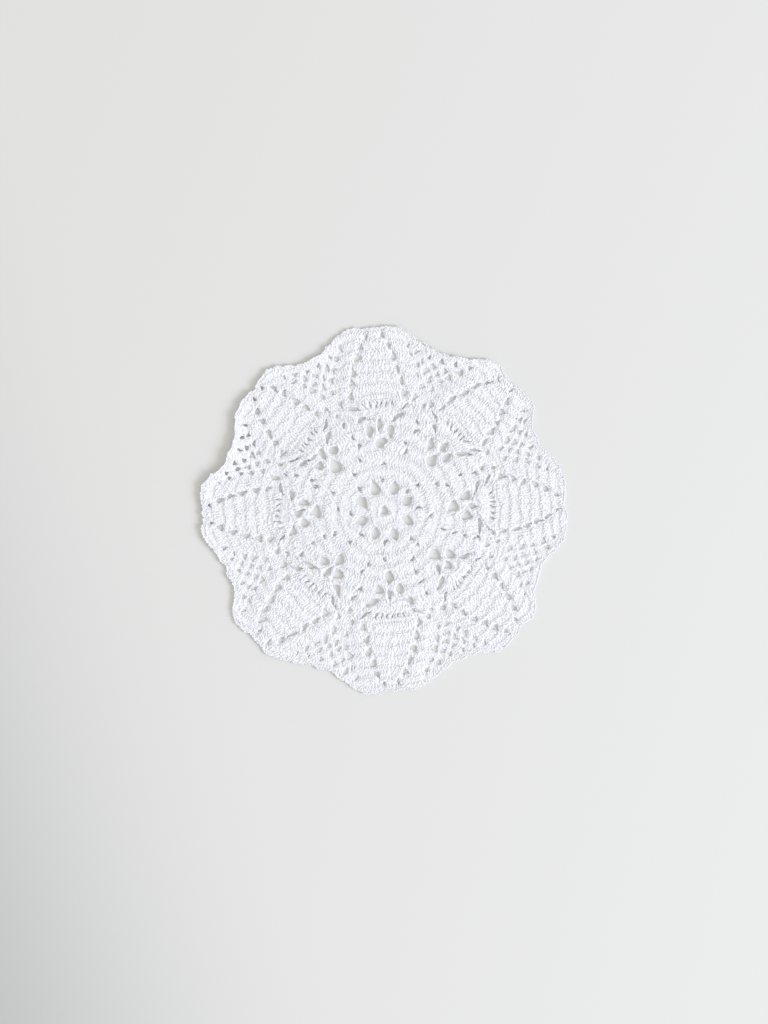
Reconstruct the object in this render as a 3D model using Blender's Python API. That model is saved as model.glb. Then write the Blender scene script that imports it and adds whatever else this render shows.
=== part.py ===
"""Round crochet lace coaster.

The coaster is one worked piece. Its pattern is charted once, for an ideal repeat, and the chart is
then carried to each of the eight repeats, with the small turns and stretches of the real work. The
sheet lies flat in the middle, where a cup stands, and its rim lifts and waves as it was put down.

Chart angles run clockwise from +Y, seen from above. Lengths are in millimetres and angles in degrees
up to the mesh, which is in metres.
"""

import math
from collections import namedtuple

import bmesh
import bpy
from mathutils import Vector
from mathutils.geometry import delaunay_2d_cdt

MM = 0.001

# Driving sizes
REPEATS = 8
REPEAT_ANGLE = 360.0 / REPEATS
FIRST_AXIS = -3.0
SHEET_THICKNESS = 1.3
RIM_THICKNESS = 1.1
ROSETTE_RADIUS = 12.0
PINEAPPLE_BASE_RADIUS = 27.5
IDEAL_TIP_RADIUS = 74.5
IDEAL_TIP_ANGLE = 6.5
IDEAL_DIP_RADIUS = 73.7
IDEAL_VALLEY_RADIUS = 68.9
ROSETTE_TURN = 1.7

# Outline of each repeat, clockwise from the top one. A pineapple ends in two scallop tips with a
# shallow dip between them, and a deeper valley lies between it and the next. Angles are offsets from
# the repeat's ideal axis, and for the valley from the ideal half-way line after it.
Outline = namedtuple("Outline", "tip_a tip_a_r dip dip_r tip_b tip_b_r valley valley_r")
OUTLINES = (
    Outline(-7.0, 75.3, -1.0, 74.6, 5.0, 75.3, -0.5, 68.6),
    Outline(-5.0, 74.8, 3.0, 74.0, 11.0, 74.5, 0.5, 68.5),
    Outline(-10.0, 73.7, 0.0, 73.5, 10.0, 74.5, 2.5, 68.0),
    Outline(-6.0, 73.7, -1.0, 72.5, 6.0, 73.7, -1.5, 67.8),
    Outline(-6.0, 73.7, -1.0, 73.1, 9.0, 74.5, 1.5, 69.3),
    Outline(-3.0, 75.1, 3.0, 73.9, 10.0, 75.9, 2.5, 68.2),
    Outline(-3.0, 74.9, 1.0, 73.7, 8.0, 75.3, 1.5, 67.6),
    Outline(-6.0, 73.2, -1.0, 72.8, 7.0, 75.1, -1.5, 68.7),
)
VALLEY_SHARPNESS = 1.35

# How the worked pattern strays from the ideal chart in each repeat: the turn and the stretch at the
# base of the pineapple, and the turns at its tip and at the rim of the net that follows it.
Stray = namedtuple("Stray", "base_turn base_scale tip_turn net_turn")
STRAYS = (
    Stray(-0.1, 1.009, -0.5, -1.0),
    Stray(0.4, 1.015, 1.8, -0.6),
    Stray(-0.6, 1.024, 0.0, 0.1),
    Stray(-1.6, 0.975, 0.0, -1.7),
    Stray(-0.8, 0.982, 0.9, 1.0),
    Stray(1.0, 0.976, 1.7, 0.8),
    Stray(1.9, 1.007, 2.0, 0.8),
    Stray(0.3, 0.984, 0.9, -1.4),
)

# Gaps of one repeat. `angle` is measured from the pineapple's axis, or from the half-way line where
# `on_net` is set. `slant` turns the long side away from the radius, `taper` narrows the outer end,
# or the inner end where it is negative. A mirrored gap has a twin on the other side of its line.
Gap = namedtuple("Gap", "name radius angle on_net length width slant taper sides mirrored")
GAPS = (
    Gap("rosette_eyelet", 10.0, 0.0, True, 5.2, 4.1, 0.0, 0.10, 10, False),
    Gap("pineapple_base", 27.5, 0.0, False, 4.9, 4.8, 0.0, 0.35, 10, False),
    Gap("base_side", 32.6, 7.3, False, 4.0, 3.3, 8.0, 0.00, 8, True),
    Gap("base_middle", 34.3, 0.0, False, 4.4, 2.4, 0.0, -0.50, 8, False),
    Gap("fan_side", 37.9, 11.0, False, 5.6, 2.1, 62.0, -0.30, 8, True),
    Gap("fan_slit", 42.9, 13.6, False, 4.6, 1.2, 49.0, 0.00, 6, True),
    Gap("side_row_1", 48.2, 12.9, False, 2.5, 1.9, 0.0, 0.20, 5, True),
    Gap("side_row_2", 53.0, 10.9, False, 2.7, 2.0, 0.0, 0.20, 5, True),
    Gap("side_row_3", 57.5, 8.8, False, 2.7, 2.0, 0.0, 0.20, 5, True),
    Gap("side_row_4", 62.2, 6.8, False, 2.6, 1.9, 0.0, 0.20, 5, True),
    Gap("side_row_5", 66.4, 4.8, False, 2.4, 1.8, 0.0, 0.20, 5, True),
    Gap("net_row_1", 47.0, 4.0, True, 2.3, 1.8, 0.0, 0.00, 4, True),
    Gap("net_row_2", 52.7, 2.3, True, 2.3, 1.9, 0.0, 0.00, 4, True),
    Gap("net_row_3_middle", 56.3, 0.0, True, 2.3, 2.0, 0.0, 0.00, 4, False),
    Gap("net_row_3", 56.9, 4.6, True, 2.3, 2.0, 0.0, 0.00, 4, True),
    Gap("net_row_4", 59.1, 2.2, True, 2.2, 2.0, 0.0, 0.00, 4, True),
    Gap("net_row_4_outer", 60.3, 6.6, True, 2.2, 2.0, 0.0, 0.00, 4, True),
    Gap("net_row_5_middle", 61.7, 0.0, True, 2.1, 1.9, 0.0, 0.00, 4, False),
    Gap("net_row_5", 62.4, 4.5, True, 2.1, 1.9, 0.0, 0.00, 4, True),
    Gap("net_row_5_outer", 64.1, 8.9, True, 2.1, 1.9, 0.0, 0.00, 4, True),
)
CENTRE_GAP_RADIUS = 1.6
CENTRE_GAP_SIDES = 8

# Where the sheet leaves the table. Each lobe rises from `start` on. Its hump stands `middle_lift`
# high two thirds of the way to the rim, its edge `rim_lift` high at the rim, and both fade out
# `spread` degrees to each side of `angle`.
Lobe = namedtuple("Lobe", "angle spread start middle_lift rim_lift")
LOBES = (
    Lobe(291.0, 26.0, 37.0, 2.2, 5.0),
    Lobe(264.0, 18.0, 46.0, 0.5, 1.8),
    Lobe(314.0, 16.0, 44.0, 0.6, 2.0),
    Lobe(336.0, 12.0, 48.0, 0.7, 2.2),
    Lobe(4.0, 12.0, 50.0, 0.4, 1.0),
    Lobe(24.0, 15.0, 40.0, 1.3, 1.8),
    Lobe(66.0, 26.0, 38.0, 2.4, 0.3),
    Lobe(100.0, 9.0, 42.0, 1.0, 0.6),
    Lobe(134.0, 15.0, 46.0, 0.4, 0.1),
    Lobe(176.0, 18.0, 48.0, 0.3, 0.3),
    Lobe(208.0, 14.0, 48.0, 0.3, 0.4),
    Lobe(243.0, 10.0, 46.0, 0.5, 0.8),
)
# The rim touches the table at three points of its outline, and rises a little between each two. The
# flat middle hangs between the three, a hair clear of the table.
REST_ANGLES = (112.0, 232.0, 350.0)
REST_START = 28.0
REST_MIDDLE_LIFT = 0.5
REST_RIM_LIFT = 0.7
MIDDLE_CLEARANCE = 0.02
HUMP_PEAK = 4.0 / 27.0  # largest value of share^2 * (1 - share)

# Ribbed rows across each pineapple, raised in the upper face. The rows narrow towards the tip.
RIB_FIRST_RADIUS = 46.5
RIB_PITCH = 4.4
RIB_ROWS = 6
RIB_HEIGHT = 0.3
PINEAPPLE_HALF_ANGLE_IN = 12.0
PINEAPPLE_HALF_ANGLE_OUT = 2.5
RIB_FADE_FROM = 0.8
RIB_FADE_TO = 1.1
RIB_COLUMNS = 4
RIB_COLUMNS_LEAST = 2
RIB_COLUMN_LOSS = 0.6
RIB_COLUMN_SPREAD = 0.72

# Points that the faces are laid out on, besides the edges of the outline and the gaps.
Ring = namedtuple("Ring", "radius points")
INNER_RINGS = (
    Ring(5.6, 16),
    Ring(14.2, 24),
    Ring(19.5, 24),
    Ring(24.5, 24),
)
LEAF_RADII = (31.5, 36.5, 41.5)
LEAF_HALF_ANGLE = 5.5
RIM_INSET = 1.6
RIM_POINTS_PER_REPEAT = 8
OUTLINE_STEPS_PER_ARC = 5
GAP_MARGIN = 0.7
JOIN_DISTANCE = 1e-6

COTTON_COLOUR = (0.90, 0.90, 0.93, 1.0)
COTTON_ROUGHNESS = 0.9
SHARP_ANGLE = 35.0


def smoothstep(low, high, value):
    """Rise smoothly from 0 at low to 1 at high."""
    share = min(max((value - low) / (high - low), 0.0), 1.0)
    return share * share * (3.0 - 2.0 * share)


def ease(first, second, share):
    """Go from first to second with level ends."""
    return first + (second - first) * (0.5 - 0.5 * math.cos(math.pi * share))


def wrapped(angle):
    """Bring an angle into -180 to 180 degrees."""
    return (angle + 180.0) % 360.0 - 180.0


def eased_loop(knots, angle, sharpness=1.0):
    """Read a closed curve, given as (angle, value) knots in turning order, at one angle.

    A sharpness over 1 keeps the curve low for longer beside its low knots.
    """
    for (angle_a, value_a), (angle_b, value_b) in zip(knots, knots[1:] + knots[:1]):
        span = (angle_b - angle_a) % 360.0
        share = (angle - angle_a) % 360.0 / span
        if share > 1.0:
            continue
        if value_b > value_a:
            share = share**sharpness
        else:
            share = 1.0 - (1.0 - share) ** sharpness
        return ease(value_a, value_b, share)
    raise ValueError(f"no knot pair holds {angle}")


def axis_angle(repeat):
    """Ideal axis of a repeat's pineapple."""
    return FIRST_AXIS + REPEAT_ANGLE * repeat


def outline_knots():
    """Real rim, as (angle, radius) knots."""
    knots = []
    for repeat, row in enumerate(OUTLINES):
        axis = axis_angle(repeat)
        knots.append((axis + row.tip_a, row.tip_a_r))
        knots.append((axis + row.dip, row.dip_r))
        knots.append((axis + row.tip_b, row.tip_b_r))
        knots.append((axis + REPEAT_ANGLE / 2 + row.valley, row.valley_r))
    return knots


def ideal_knots():
    """Rim of the ideal chart, as (angle, radius) knots."""
    knots = []
    for repeat in range(REPEATS):
        axis = axis_angle(repeat)
        knots.append((axis - IDEAL_TIP_ANGLE, IDEAL_TIP_RADIUS))
        knots.append((axis, IDEAL_DIP_RADIUS))
        knots.append((axis + IDEAL_TIP_ANGLE, IDEAL_TIP_RADIUS))
        knots.append((axis + REPEAT_ANGLE / 2, IDEAL_VALLEY_RADIUS))
    return knots


def rim_turn_knots():
    """Turn of the pattern at each pineapple's tip and at each net's rim."""
    knots = []
    for repeat, row in enumerate(STRAYS):
        axis = axis_angle(repeat)
        knots.append((axis, row.tip_turn))
        knots.append((axis + REPEAT_ANGLE / 2, row.net_turn))
    return knots


RIM = outline_knots()
IDEAL_RIM = ideal_knots()
RIM_TURN = rim_turn_knots()
BASE_TURN = [(axis_angle(k), row.base_turn) for k, row in enumerate(STRAYS)]
BASE_SCALE = [(axis_angle(k), row.base_scale) for k, row in enumerate(STRAYS)]


def rim_radius(angle):
    """Radius of the real rim."""
    return eased_loop(RIM, angle, VALLEY_SHARPNESS)


def ideal_rim_radius(angle):
    """Radius of the ideal chart's rim."""
    return eased_loop(IDEAL_RIM, angle, VALLEY_SHARPNESS)


def worked_polar(angle, radius):
    """Carry a point of the ideal chart to where the real work has it, as (angle, radius)."""
    to_base = smoothstep(ROSETTE_RADIUS, PINEAPPLE_BASE_RADIUS, radius)
    ideal_rim = ideal_rim_radius(angle)
    to_rim = smoothstep(PINEAPPLE_BASE_RADIUS, ideal_rim, radius)
    rim_turn = eased_loop(RIM_TURN, angle)
    base_turn = eased_loop(BASE_TURN, angle)
    turn = ROSETTE_TURN + (base_turn - ROSETTE_TURN) * to_base
    turn += (rim_turn - base_turn) * to_rim
    rim_scale = rim_radius(angle + rim_turn) / ideal_rim
    base_scale = eased_loop(BASE_SCALE, angle)
    scale = 1.0 + (base_scale - 1.0) * to_base
    scale += (rim_scale - base_scale) * to_rim
    return angle + turn, radius * scale


def flat_point(angle, radius):
    """Turn a clockwise angle from +Y and a radius into a flat point."""
    turned = math.radians(angle)
    return Vector((radius * math.sin(turned), radius * math.cos(turned)))


def worked_point(angle, radius):
    """Flat place of a chart point in the real work."""
    return flat_point(*worked_polar(angle, radius))


def outline_points():
    """Rim of the real work, with even steps between its knots."""
    points = []
    for (angle_a, _), (angle_b, _) in zip(RIM, RIM[1:] + RIM[:1]):
        span = (angle_b - angle_a) % 360.0
        for step in range(OUTLINE_STEPS_PER_ARC):
            angle = angle_a + span * step / OUTLINE_STEPS_PER_ARC
            points.append(flat_point(angle, rim_radius(angle)))
    return points


def gap_points(gap, line_angle, side):
    """Outline of one gap, laid out on its own centre and carried to the real work."""
    slant = math.radians(side * gap.slant)
    points = []
    for step in range(gap.sides):
        around = 2.0 * math.pi * step / gap.sides
        along = math.cos(around) * gap.length / 2
        across = math.sin(around) * gap.width / 2 * (1.0 - gap.taper * math.cos(around))
        outwards = along * math.cos(slant) - across * math.sin(slant)
        sideways = along * math.sin(slant) + across * math.cos(slant)
        radius = gap.radius + outwards
        angle = line_angle + side * gap.angle + math.degrees(sideways / radius)
        points.append(worked_point(angle, radius))
    return points


def all_gaps():
    """Outlines of every gap that is cut through."""
    centre_gap = [
        flat_point(360.0 * step / CENTRE_GAP_SIDES, CENTRE_GAP_RADIUS)
        for step in range(CENTRE_GAP_SIDES)
    ]
    loops = [centre_gap]
    for repeat in range(REPEATS):
        for gap in GAPS:
            line_angle = axis_angle(repeat) + (REPEAT_ANGLE / 2 if gap.on_net else 0.0)
            loops.append(gap_points(gap, line_angle, 1))
            if gap.mirrored:
                loops.append(gap_points(gap, line_angle, -1))
    return loops


def rib_points():
    """Points along the crests and troughs of the ribbed rows, as chart angles and radii."""
    points = []
    for line in range(2 * RIB_ROWS):
        radius = RIB_FIRST_RADIUS + RIB_PITCH * line / 2
        share = line / (2 * RIB_ROWS)
        half = PINEAPPLE_HALF_ANGLE_IN + (PINEAPPLE_HALF_ANGLE_OUT - PINEAPPLE_HALF_ANGLE_IN) * share
        columns = max(RIB_COLUMNS_LEAST, round(RIB_COLUMNS * (1.0 - RIB_COLUMN_LOSS * share)))
        for column in range(columns):
            offset = half * RIB_COLUMN_SPREAD * (2.0 * column / (columns - 1) - 1.0)
            points.append((offset, radius))
    return points


def inner_points():
    """Points inside the sheet that let its faces bend."""
    points = []
    for radius, count in INNER_RINGS:
        for step in range(count):
            points.append(worked_point(FIRST_AXIS + 360.0 * (step + 0.5) / count, radius))
    for repeat in range(REPEATS):
        axis = axis_angle(repeat)
        for offset, radius in rib_points():
            points.append(worked_point(axis + offset, radius))
        for radius in LEAF_RADII:
            for side in (-1, 1):
                points.append(worked_point(axis + REPEAT_ANGLE / 2 + side * LEAF_HALF_ANGLE, radius))
    rim_points = REPEATS * RIM_POINTS_PER_REPEAT
    for step in range(rim_points):
        angle = FIRST_AXIS + 360.0 * step / rim_points
        points.append(worked_point(angle, ideal_rim_radius(angle) - RIM_INSET))
    return points


def inside(point, loop):
    """Tell whether a flat point lies in a closed loop."""
    odd = False
    for first, second in zip(loop, loop[1:] + loop[:1]):
        if (first.y > point.y) != (second.y > point.y):
            crossing = first.x + (point.y - first.y) * (second.x - first.x) / (second.y - first.y)
            if crossing > point.x:
                odd = not odd
    return odd


def rise(radius, rim, start, middle_lift, rim_lift):
    """Height of a wave that begins at one radius and runs out to the rim."""
    share = min(max((radius - start) / (rim - start), 0.0), 1.0)
    hump = middle_lift * share**2 * (1.0 - share) / HUMP_PEAK
    return hump + rim_lift * share**3


def rest_fade(angle):
    """Share of the low rise at an angle: none at a resting point, and all of it half-way between two."""
    for angle_a, angle_b in zip(REST_ANGLES, REST_ANGLES[1:] + REST_ANGLES[:1]):
        share = (angle - angle_a) % 360.0 / ((angle_b - angle_a) % 360.0)
        if share <= 1.0:
            return math.sqrt(math.sin(math.pi * share))
    raise ValueError(f"no two resting points hold {angle}")


def lift(point):
    """Height of the underside over the table."""
    radius = point.length
    angle = math.degrees(math.atan2(point.x, point.y))
    rim = rim_radius(angle)
    low_rise = rest_fade(angle)
    height = low_rise * rise(radius, rim, REST_START, REST_MIDDLE_LIFT, REST_RIM_LIFT)
    height += MIDDLE_CLEARANCE * (1.0 - (1.0 - low_rise) * smoothstep(REST_START, rim, radius))
    for lobe in LOBES:
        away = abs(wrapped(angle - lobe.angle))
        if away < lobe.spread:
            fade = 0.5 + 0.5 * math.cos(math.pi * away / lobe.spread)
            height += fade * rise(radius, rim, lobe.start, lobe.middle_lift, lobe.rim_lift)
    return height


def rib_relief(point):
    """Extra height of the upper face on a pineapple's ribbed rows."""
    radius = point.length
    last = RIB_FIRST_RADIUS + RIB_PITCH * RIB_ROWS
    if not RIB_FIRST_RADIUS - RIB_PITCH / 2 < radius < last:
        return 0.0
    angle = math.degrees(math.atan2(point.x, point.y))
    share = (radius - RIB_FIRST_RADIUS) / (last - RIB_FIRST_RADIUS)
    half = PINEAPPLE_HALF_ANGLE_IN + (PINEAPPLE_HALF_ANGLE_OUT - PINEAPPLE_HALF_ANGLE_IN) * share
    unturned = angle - eased_loop(RIM_TURN, angle)
    nearest = min(abs(wrapped(unturned - axis_angle(k))) for k in range(REPEATS))
    wave = 0.5 + 0.5 * math.cos(2.0 * math.pi * (radius - RIB_FIRST_RADIUS) / RIB_PITCH)
    return RIB_HEIGHT * wave * (1.0 - smoothstep(half * RIB_FADE_FROM, half * RIB_FADE_TO, nearest))


def thickness(point):
    """Thickness of the sheet, a little less along the rim."""
    angle = math.degrees(math.atan2(point.x, point.y))
    rim = rim_radius(angle)
    to_rim = smoothstep(rim - 2.0 * RIM_INSET, rim, point.length)
    return SHEET_THICKNESS + (RIM_THICKNESS - SHEET_THICKNESS) * to_rim


def box_holds(point, loop, margin=0.0):
    """Tell whether a point is in a loop's own box, grown by a margin."""
    xs = [p.x for p in loop]
    ys = [p.y for p in loop]
    in_x = min(xs) - margin <= point.x <= max(xs) + margin
    in_y = min(ys) - margin <= point.y <= max(ys) + margin
    return in_x and in_y


def near_loop(point, loop):
    """Tell whether a point is inside a loop or close to its edge."""
    if not box_holds(point, loop, GAP_MARGIN):
        return False
    return inside(point, loop) or min((point - p).length for p in loop) < GAP_MARGIN


def sheet_layout():
    """Cut the flat pattern into triangles: its points, its triangles and its edge loops."""
    loops = [outline_points()] + all_gaps()
    points = []
    edges = []
    for loop in loops:
        start = len(points)
        points.extend(loop)
        edges.extend((start + i, start + (i + 1) % len(loop)) for i in range(len(loop)))
    for point in inner_points():
        if inside(point, loops[0]) and not any(near_loop(point, loop) for loop in loops[1:]):
            points.append(point)
    flat, _, faces, _, _, _ = delaunay_2d_cdt(points, edges, [], 1, JOIN_DISTANCE)
    kept = []
    for face in faces:
        middle = sum((flat[i] for i in face), Vector((0.0, 0.0))) / len(face)
        if not any(box_holds(middle, loop) and inside(middle, loop) for loop in loops[1:]):
            kept.append(list(face))
    return flat, kept


def build_sheet():
    """Make the closed solid of the coaster."""
    flat, faces = sheet_layout()
    xs = [p.x for p in flat]
    ys = [p.y for p in flat]
    centre = Vector(((min(xs) + max(xs)) / 2, (min(ys) + max(ys)) / 2))
    mesh = bmesh.new()
    lower = []
    upper = []
    for point in flat:
        base = lift(point)
        top = base + thickness(point) + rib_relief(point)
        place = (point - centre) * MM
        lower.append(mesh.verts.new((place.x, place.y, base * MM)))
        upper.append(mesh.verts.new((place.x, place.y, top * MM)))
    edge_uses = {}
    for face in faces:
        mesh.faces.new([upper[i] for i in face])
        mesh.faces.new([lower[i] for i in reversed(face)])
        for first, second in zip(face, face[1:] + face[:1]):
            edge_uses[(first, second)] = edge_uses.get((first, second), 0) + 1
    for first, second in edge_uses:
        if (second, first) not in edge_uses:
            mesh.faces.new((lower[first], lower[second], upper[second], upper[first]))
    bmesh.ops.triangulate(mesh, faces=mesh.faces[:])
    unused = [vert for vert in mesh.verts if not vert.link_faces]
    bmesh.ops.delete(mesh, geom=unused, context="VERTS")
    bmesh.ops.recalc_face_normals(mesh, faces=mesh.faces[:])
    data = bpy.data.meshes.new("lace_coaster")
    mesh.to_mesh(data)
    mesh.free()
    return data


def cotton_material():
    """Plain white cotton, matt."""
    material = bpy.data.materials.new("white_cotton")
    material.use_nodes = True
    shader = material.node_tree.nodes["Principled BSDF"]
    shader.inputs["Base Color"].default_value = COTTON_COLOUR
    shader.inputs["Roughness"].default_value = COTTON_ROUGHNESS
    shader.inputs["Metallic"].default_value = 0.0
    return material


def main():
    """Clear the scene and make the coaster."""
    for item in list(bpy.data.objects):
        bpy.data.objects.remove(item)
    data = build_sheet()
    data.materials.append(cotton_material())
    data.shade_smooth()
    data.set_sharp_from_angle(angle=math.radians(SHARP_ANGLE))
    coaster = bpy.data.objects.new("lace_coaster", data)
    bpy.context.collection.objects.link(coaster)


main()
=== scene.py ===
"""Looks of the round crochet lace coaster.

The coaster is worked from one white cotton thread. Every stitch is charted once, on an ideal repeat,
out of a few strand shapes: trebles, short stitches, chain links and knots. The strands are pushed
clear of the gaps, carried to where the real work has them, raised onto the waves of the sheet, and
swept into thread. A thin closed layer under them, the ground, fills the work between the strands.

Chart angles run clockwise from +Y, seen from above. Chart lengths are in millimetres and angles in
degrees up to the meshes, which are in metres.
"""

import logging
from collections.abc import Callable, Iterator
from dataclasses import dataclass, field
from enum import Enum
from typing import NamedTuple

import bpy
import numpy as np
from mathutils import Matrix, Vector
from mathutils.geometry import delaunay_2d_cdt

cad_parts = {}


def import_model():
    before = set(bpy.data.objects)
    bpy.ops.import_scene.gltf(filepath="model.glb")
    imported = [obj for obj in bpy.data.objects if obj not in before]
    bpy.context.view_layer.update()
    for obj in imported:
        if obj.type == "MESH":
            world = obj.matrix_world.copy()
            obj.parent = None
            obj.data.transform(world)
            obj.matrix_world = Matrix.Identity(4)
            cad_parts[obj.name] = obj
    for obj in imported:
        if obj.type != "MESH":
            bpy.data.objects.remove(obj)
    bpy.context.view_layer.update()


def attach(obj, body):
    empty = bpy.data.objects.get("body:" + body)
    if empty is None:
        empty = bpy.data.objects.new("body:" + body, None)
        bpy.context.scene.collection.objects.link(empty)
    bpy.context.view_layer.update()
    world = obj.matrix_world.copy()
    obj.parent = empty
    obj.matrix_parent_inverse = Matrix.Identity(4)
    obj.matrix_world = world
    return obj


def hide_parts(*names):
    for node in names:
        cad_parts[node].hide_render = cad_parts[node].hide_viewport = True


LOG = logging.getLogger("lace_coaster")
MM = 0.001
TINY = 1e-9
CAD_NODE = "lace_coaster"
BODY = "root"

Array = np.ndarray
Rng = np.random.Generator
Piece = bpy.types.Object
Socket = bpy.types.NodeSocket
Pair = tuple[float, float]
Triple = tuple[float, float, float]
Colour = tuple[float, float, float, float]
Inputs = dict[str | int, object]

REPEATS = 8
REPEAT_ANGLE = 360.0 / REPEATS
FIRST_AXIS = -3.0


class ChartLine(Enum):
    """Line of a repeat that chart angles are measured from."""

    PINEAPPLE = 0.0
    NET = 0.5


class StitchKind(Enum):
    """Stitches that the coaster is worked in."""

    TREBLE = "treble"
    SHORT = "short stitch"
    EDGE = "edge stitch"
    CHAIN = "chain link"
    KNOT = "knot"


class Outline(NamedTuple):
    """Rim of one repeat, as (angle, radius): two scallop tips, the dip between them and the valley."""

    tip_a: Pair
    dip: Pair
    tip_b: Pair
    valley: Pair

    def knots(self, repeat: int) -> list[Pair]:
        """Points of the rim in one repeat, with angles from +Y."""
        lines = (PINEAPPLE, PINEAPPLE, PINEAPPLE, NET)
        return [(line_angle(repeat, line) + turn, radius) for line, (turn, radius) in zip(lines, self)]


class Stray(NamedTuple):
    """How one repeat of the real work strays from the chart."""

    base_turn: float
    base_scale: float
    tip_turn: float
    net_turn: float


class Lobe(NamedTuple):
    """A wave of the sheet over the table."""

    angle: float
    spread: float
    start: float
    rim_lift: float


class Gap(NamedTuple):
    """An opening between the stitches of one repeat."""

    radius: float
    angle: float
    line: ChartLine
    length: float
    width: float
    slant: float = 0.0
    taper: float = 0.0

    @property
    def mirrored(self) -> bool:
        """True for a gap beside its line, which has a twin on the other side."""
        return self.angle > 0.0


class NetRow(NamedTuple):
    """Gaps of one row of the net on one side, as (angle, radius), and their size."""

    places: tuple[Pair, ...]
    length: float
    width: float

    def gaps(self) -> list[Gap]:
        """The row's gaps, each of which stands for its twin too."""
        return [Gap(radius, angle, NET, self.length, self.width) for angle, radius in self.places]

    def across(self) -> Array:
        """Angles and radii of all the row's gaps, from one side to the other."""
        twins = [(-angle, radius) for angle, radius in self.places[::-1] if angle > 0.0]
        return np.array([*twins, *self.places]).T


class Run(NamedTuple):
    """Stitches side by side, from a foot line to a head line, each as (angle, angle, radius)."""

    line: ChartLine
    count: int
    foot: Triple
    head: Triple
    kind: StitchKind = StitchKind.TREBLE
    mirrored: bool = False
    foot_bow: float = 0.0


class Chain(NamedTuple):
    """Chain links along a path of (angle, radius) points."""

    line: ChartLine
    links: int
    path: tuple[Pair, ...]
    mirrored: bool = False


PINEAPPLE = ChartLine.PINEAPPLE
NET = ChartLine.NET

IDEAL_OUTLINE = Outline((-6.5, 74.5), (0.0, 73.7), (6.5, 74.5), (0.0, 68.9))
OUTLINES = (
    Outline((-7.0, 75.3), (-1.0, 74.6), (5.0, 75.3), (-0.5, 68.6)),
    Outline((-5.0, 74.8), (3.0, 74.0), (11.0, 74.5), (0.5, 68.5)),
    Outline((-10.0, 73.7), (0.0, 73.5), (10.0, 74.5), (2.5, 68.0)),
    Outline((-6.0, 73.7), (-1.0, 72.5), (6.0, 73.7), (-1.5, 67.8)),
    Outline((-6.0, 73.7), (-1.0, 73.1), (9.0, 74.5), (1.5, 69.3)),
    Outline((-3.0, 75.1), (3.0, 73.9), (10.0, 75.9), (2.5, 68.2)),
    Outline((-3.0, 74.9), (1.0, 73.7), (8.0, 75.3), (1.5, 67.6)),
    Outline((-6.0, 73.2), (-1.0, 72.8), (7.0, 75.1), (-1.5, 68.7)),
)
STRAYS = (
    Stray(-0.1, 1.009, -0.5, -1.0),
    Stray(0.4, 1.015, 1.8, -0.6),
    Stray(-0.6, 1.024, 0.0, 0.1),
    Stray(-1.6, 0.975, 0.0, -1.7),
    Stray(-0.8, 0.982, 0.9, 1.0),
    Stray(1.0, 0.976, 1.7, 0.8),
    Stray(1.9, 1.007, 2.0, 0.8),
    Stray(0.3, 0.984, 0.9, -1.4),
)
LOBES = (
    Lobe(291.0, 26.0, 37.0, 5.0),
    Lobe(264.0, 18.0, 46.0, 1.8),
    Lobe(314.0, 16.0, 44.0, 2.0),
    Lobe(336.0, 12.0, 48.0, 2.2),
    Lobe(4.0, 12.0, 50.0, 1.0),
    Lobe(24.0, 15.0, 40.0, 1.8),
    Lobe(66.0, 26.0, 38.0, 0.3),
    Lobe(100.0, 9.0, 42.0, 0.6),
    Lobe(134.0, 15.0, 46.0, 0.1),
    Lobe(176.0, 18.0, 48.0, 0.3),
    Lobe(208.0, 14.0, 48.0, 0.4),
    Lobe(243.0, 10.0, 46.0, 0.8),
)

# Slant of the gaps beside a pineapple, which follow its tapered side.
SIDE_SLANT = -16.0

# Gaps of the net, row by row outwards. Those of the last row are too small for the solid.
NET_ROWS = (
    NetRow(((2.3, 52.7),), 2.3, 1.9),
    NetRow(((0.0, 56.3), (4.6, 56.9)), 2.3, 2.0),
    NetRow(((2.2, 59.1), (6.6, 60.3)), 2.2, 2.0),
    NetRow(((0.0, 61.7), (4.5, 62.4), (8.9, 64.1)), 2.1, 1.9),
    NetRow(((2.3, 64.8), (7.0, 66.0), (11.0, 67.6)), 1.7, 1.5),
)

# Gaps of the solid, those that the stitches leave here and there, and smaller ones.
GAPS = (
    Gap(10.0, 0.0, NET, 5.4, 3.9, 0.0, 0.10),
    Gap(27.5, 0.0, PINEAPPLE, 4.9, 4.4, 0.0, 0.35),
    Gap(32.6, 7.3, PINEAPPLE, 4.2, 3.2, 8.0),
    Gap(34.3, 0.0, PINEAPPLE, 4.3, 2.6, 0.0, -0.50),
    Gap(37.9, 11.0, PINEAPPLE, 5.4, 1.9, 62.0, -0.30),
    Gap(42.9, 13.6, PINEAPPLE, 4.6, 1.0, 49.0),
    Gap(48.2, 12.9, PINEAPPLE, 3.0, 2.0, SIDE_SLANT, 0.30),
    Gap(53.0, 10.9, PINEAPPLE, 3.3, 2.2, SIDE_SLANT, 0.30),
    Gap(57.5, 8.8, PINEAPPLE, 3.3, 2.2, SIDE_SLANT, 0.30),
    Gap(62.2, 6.8, PINEAPPLE, 3.2, 2.1, SIDE_SLANT, 0.30),
    Gap(66.4, 4.8, PINEAPPLE, 2.9, 2.0, SIDE_SLANT, 0.30),
    Gap(47.0, 4.0, NET, 2.3, 1.8),
    *(gap for row in NET_ROWS[:-1] for gap in row.gaps()),
)
LOOSE_GAPS = (
    Gap(13.6, 0.0, PINEAPPLE, 1.7, 1.1),
    Gap(18.2, 4.0, PINEAPPLE, 1.6, 1.0),
    Gap(22.9, -1.0, NET, 1.7, 1.1),
    Gap(28.1, 0.0, NET, 1.8, 1.3),
    Gap(33.4, 0.0, NET, 1.8, 1.3),
    Gap(38.5, 0.0, NET, 1.8, 1.3),
    Gap(43.7, 0.0, NET, 1.8, 1.3),
)
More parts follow.
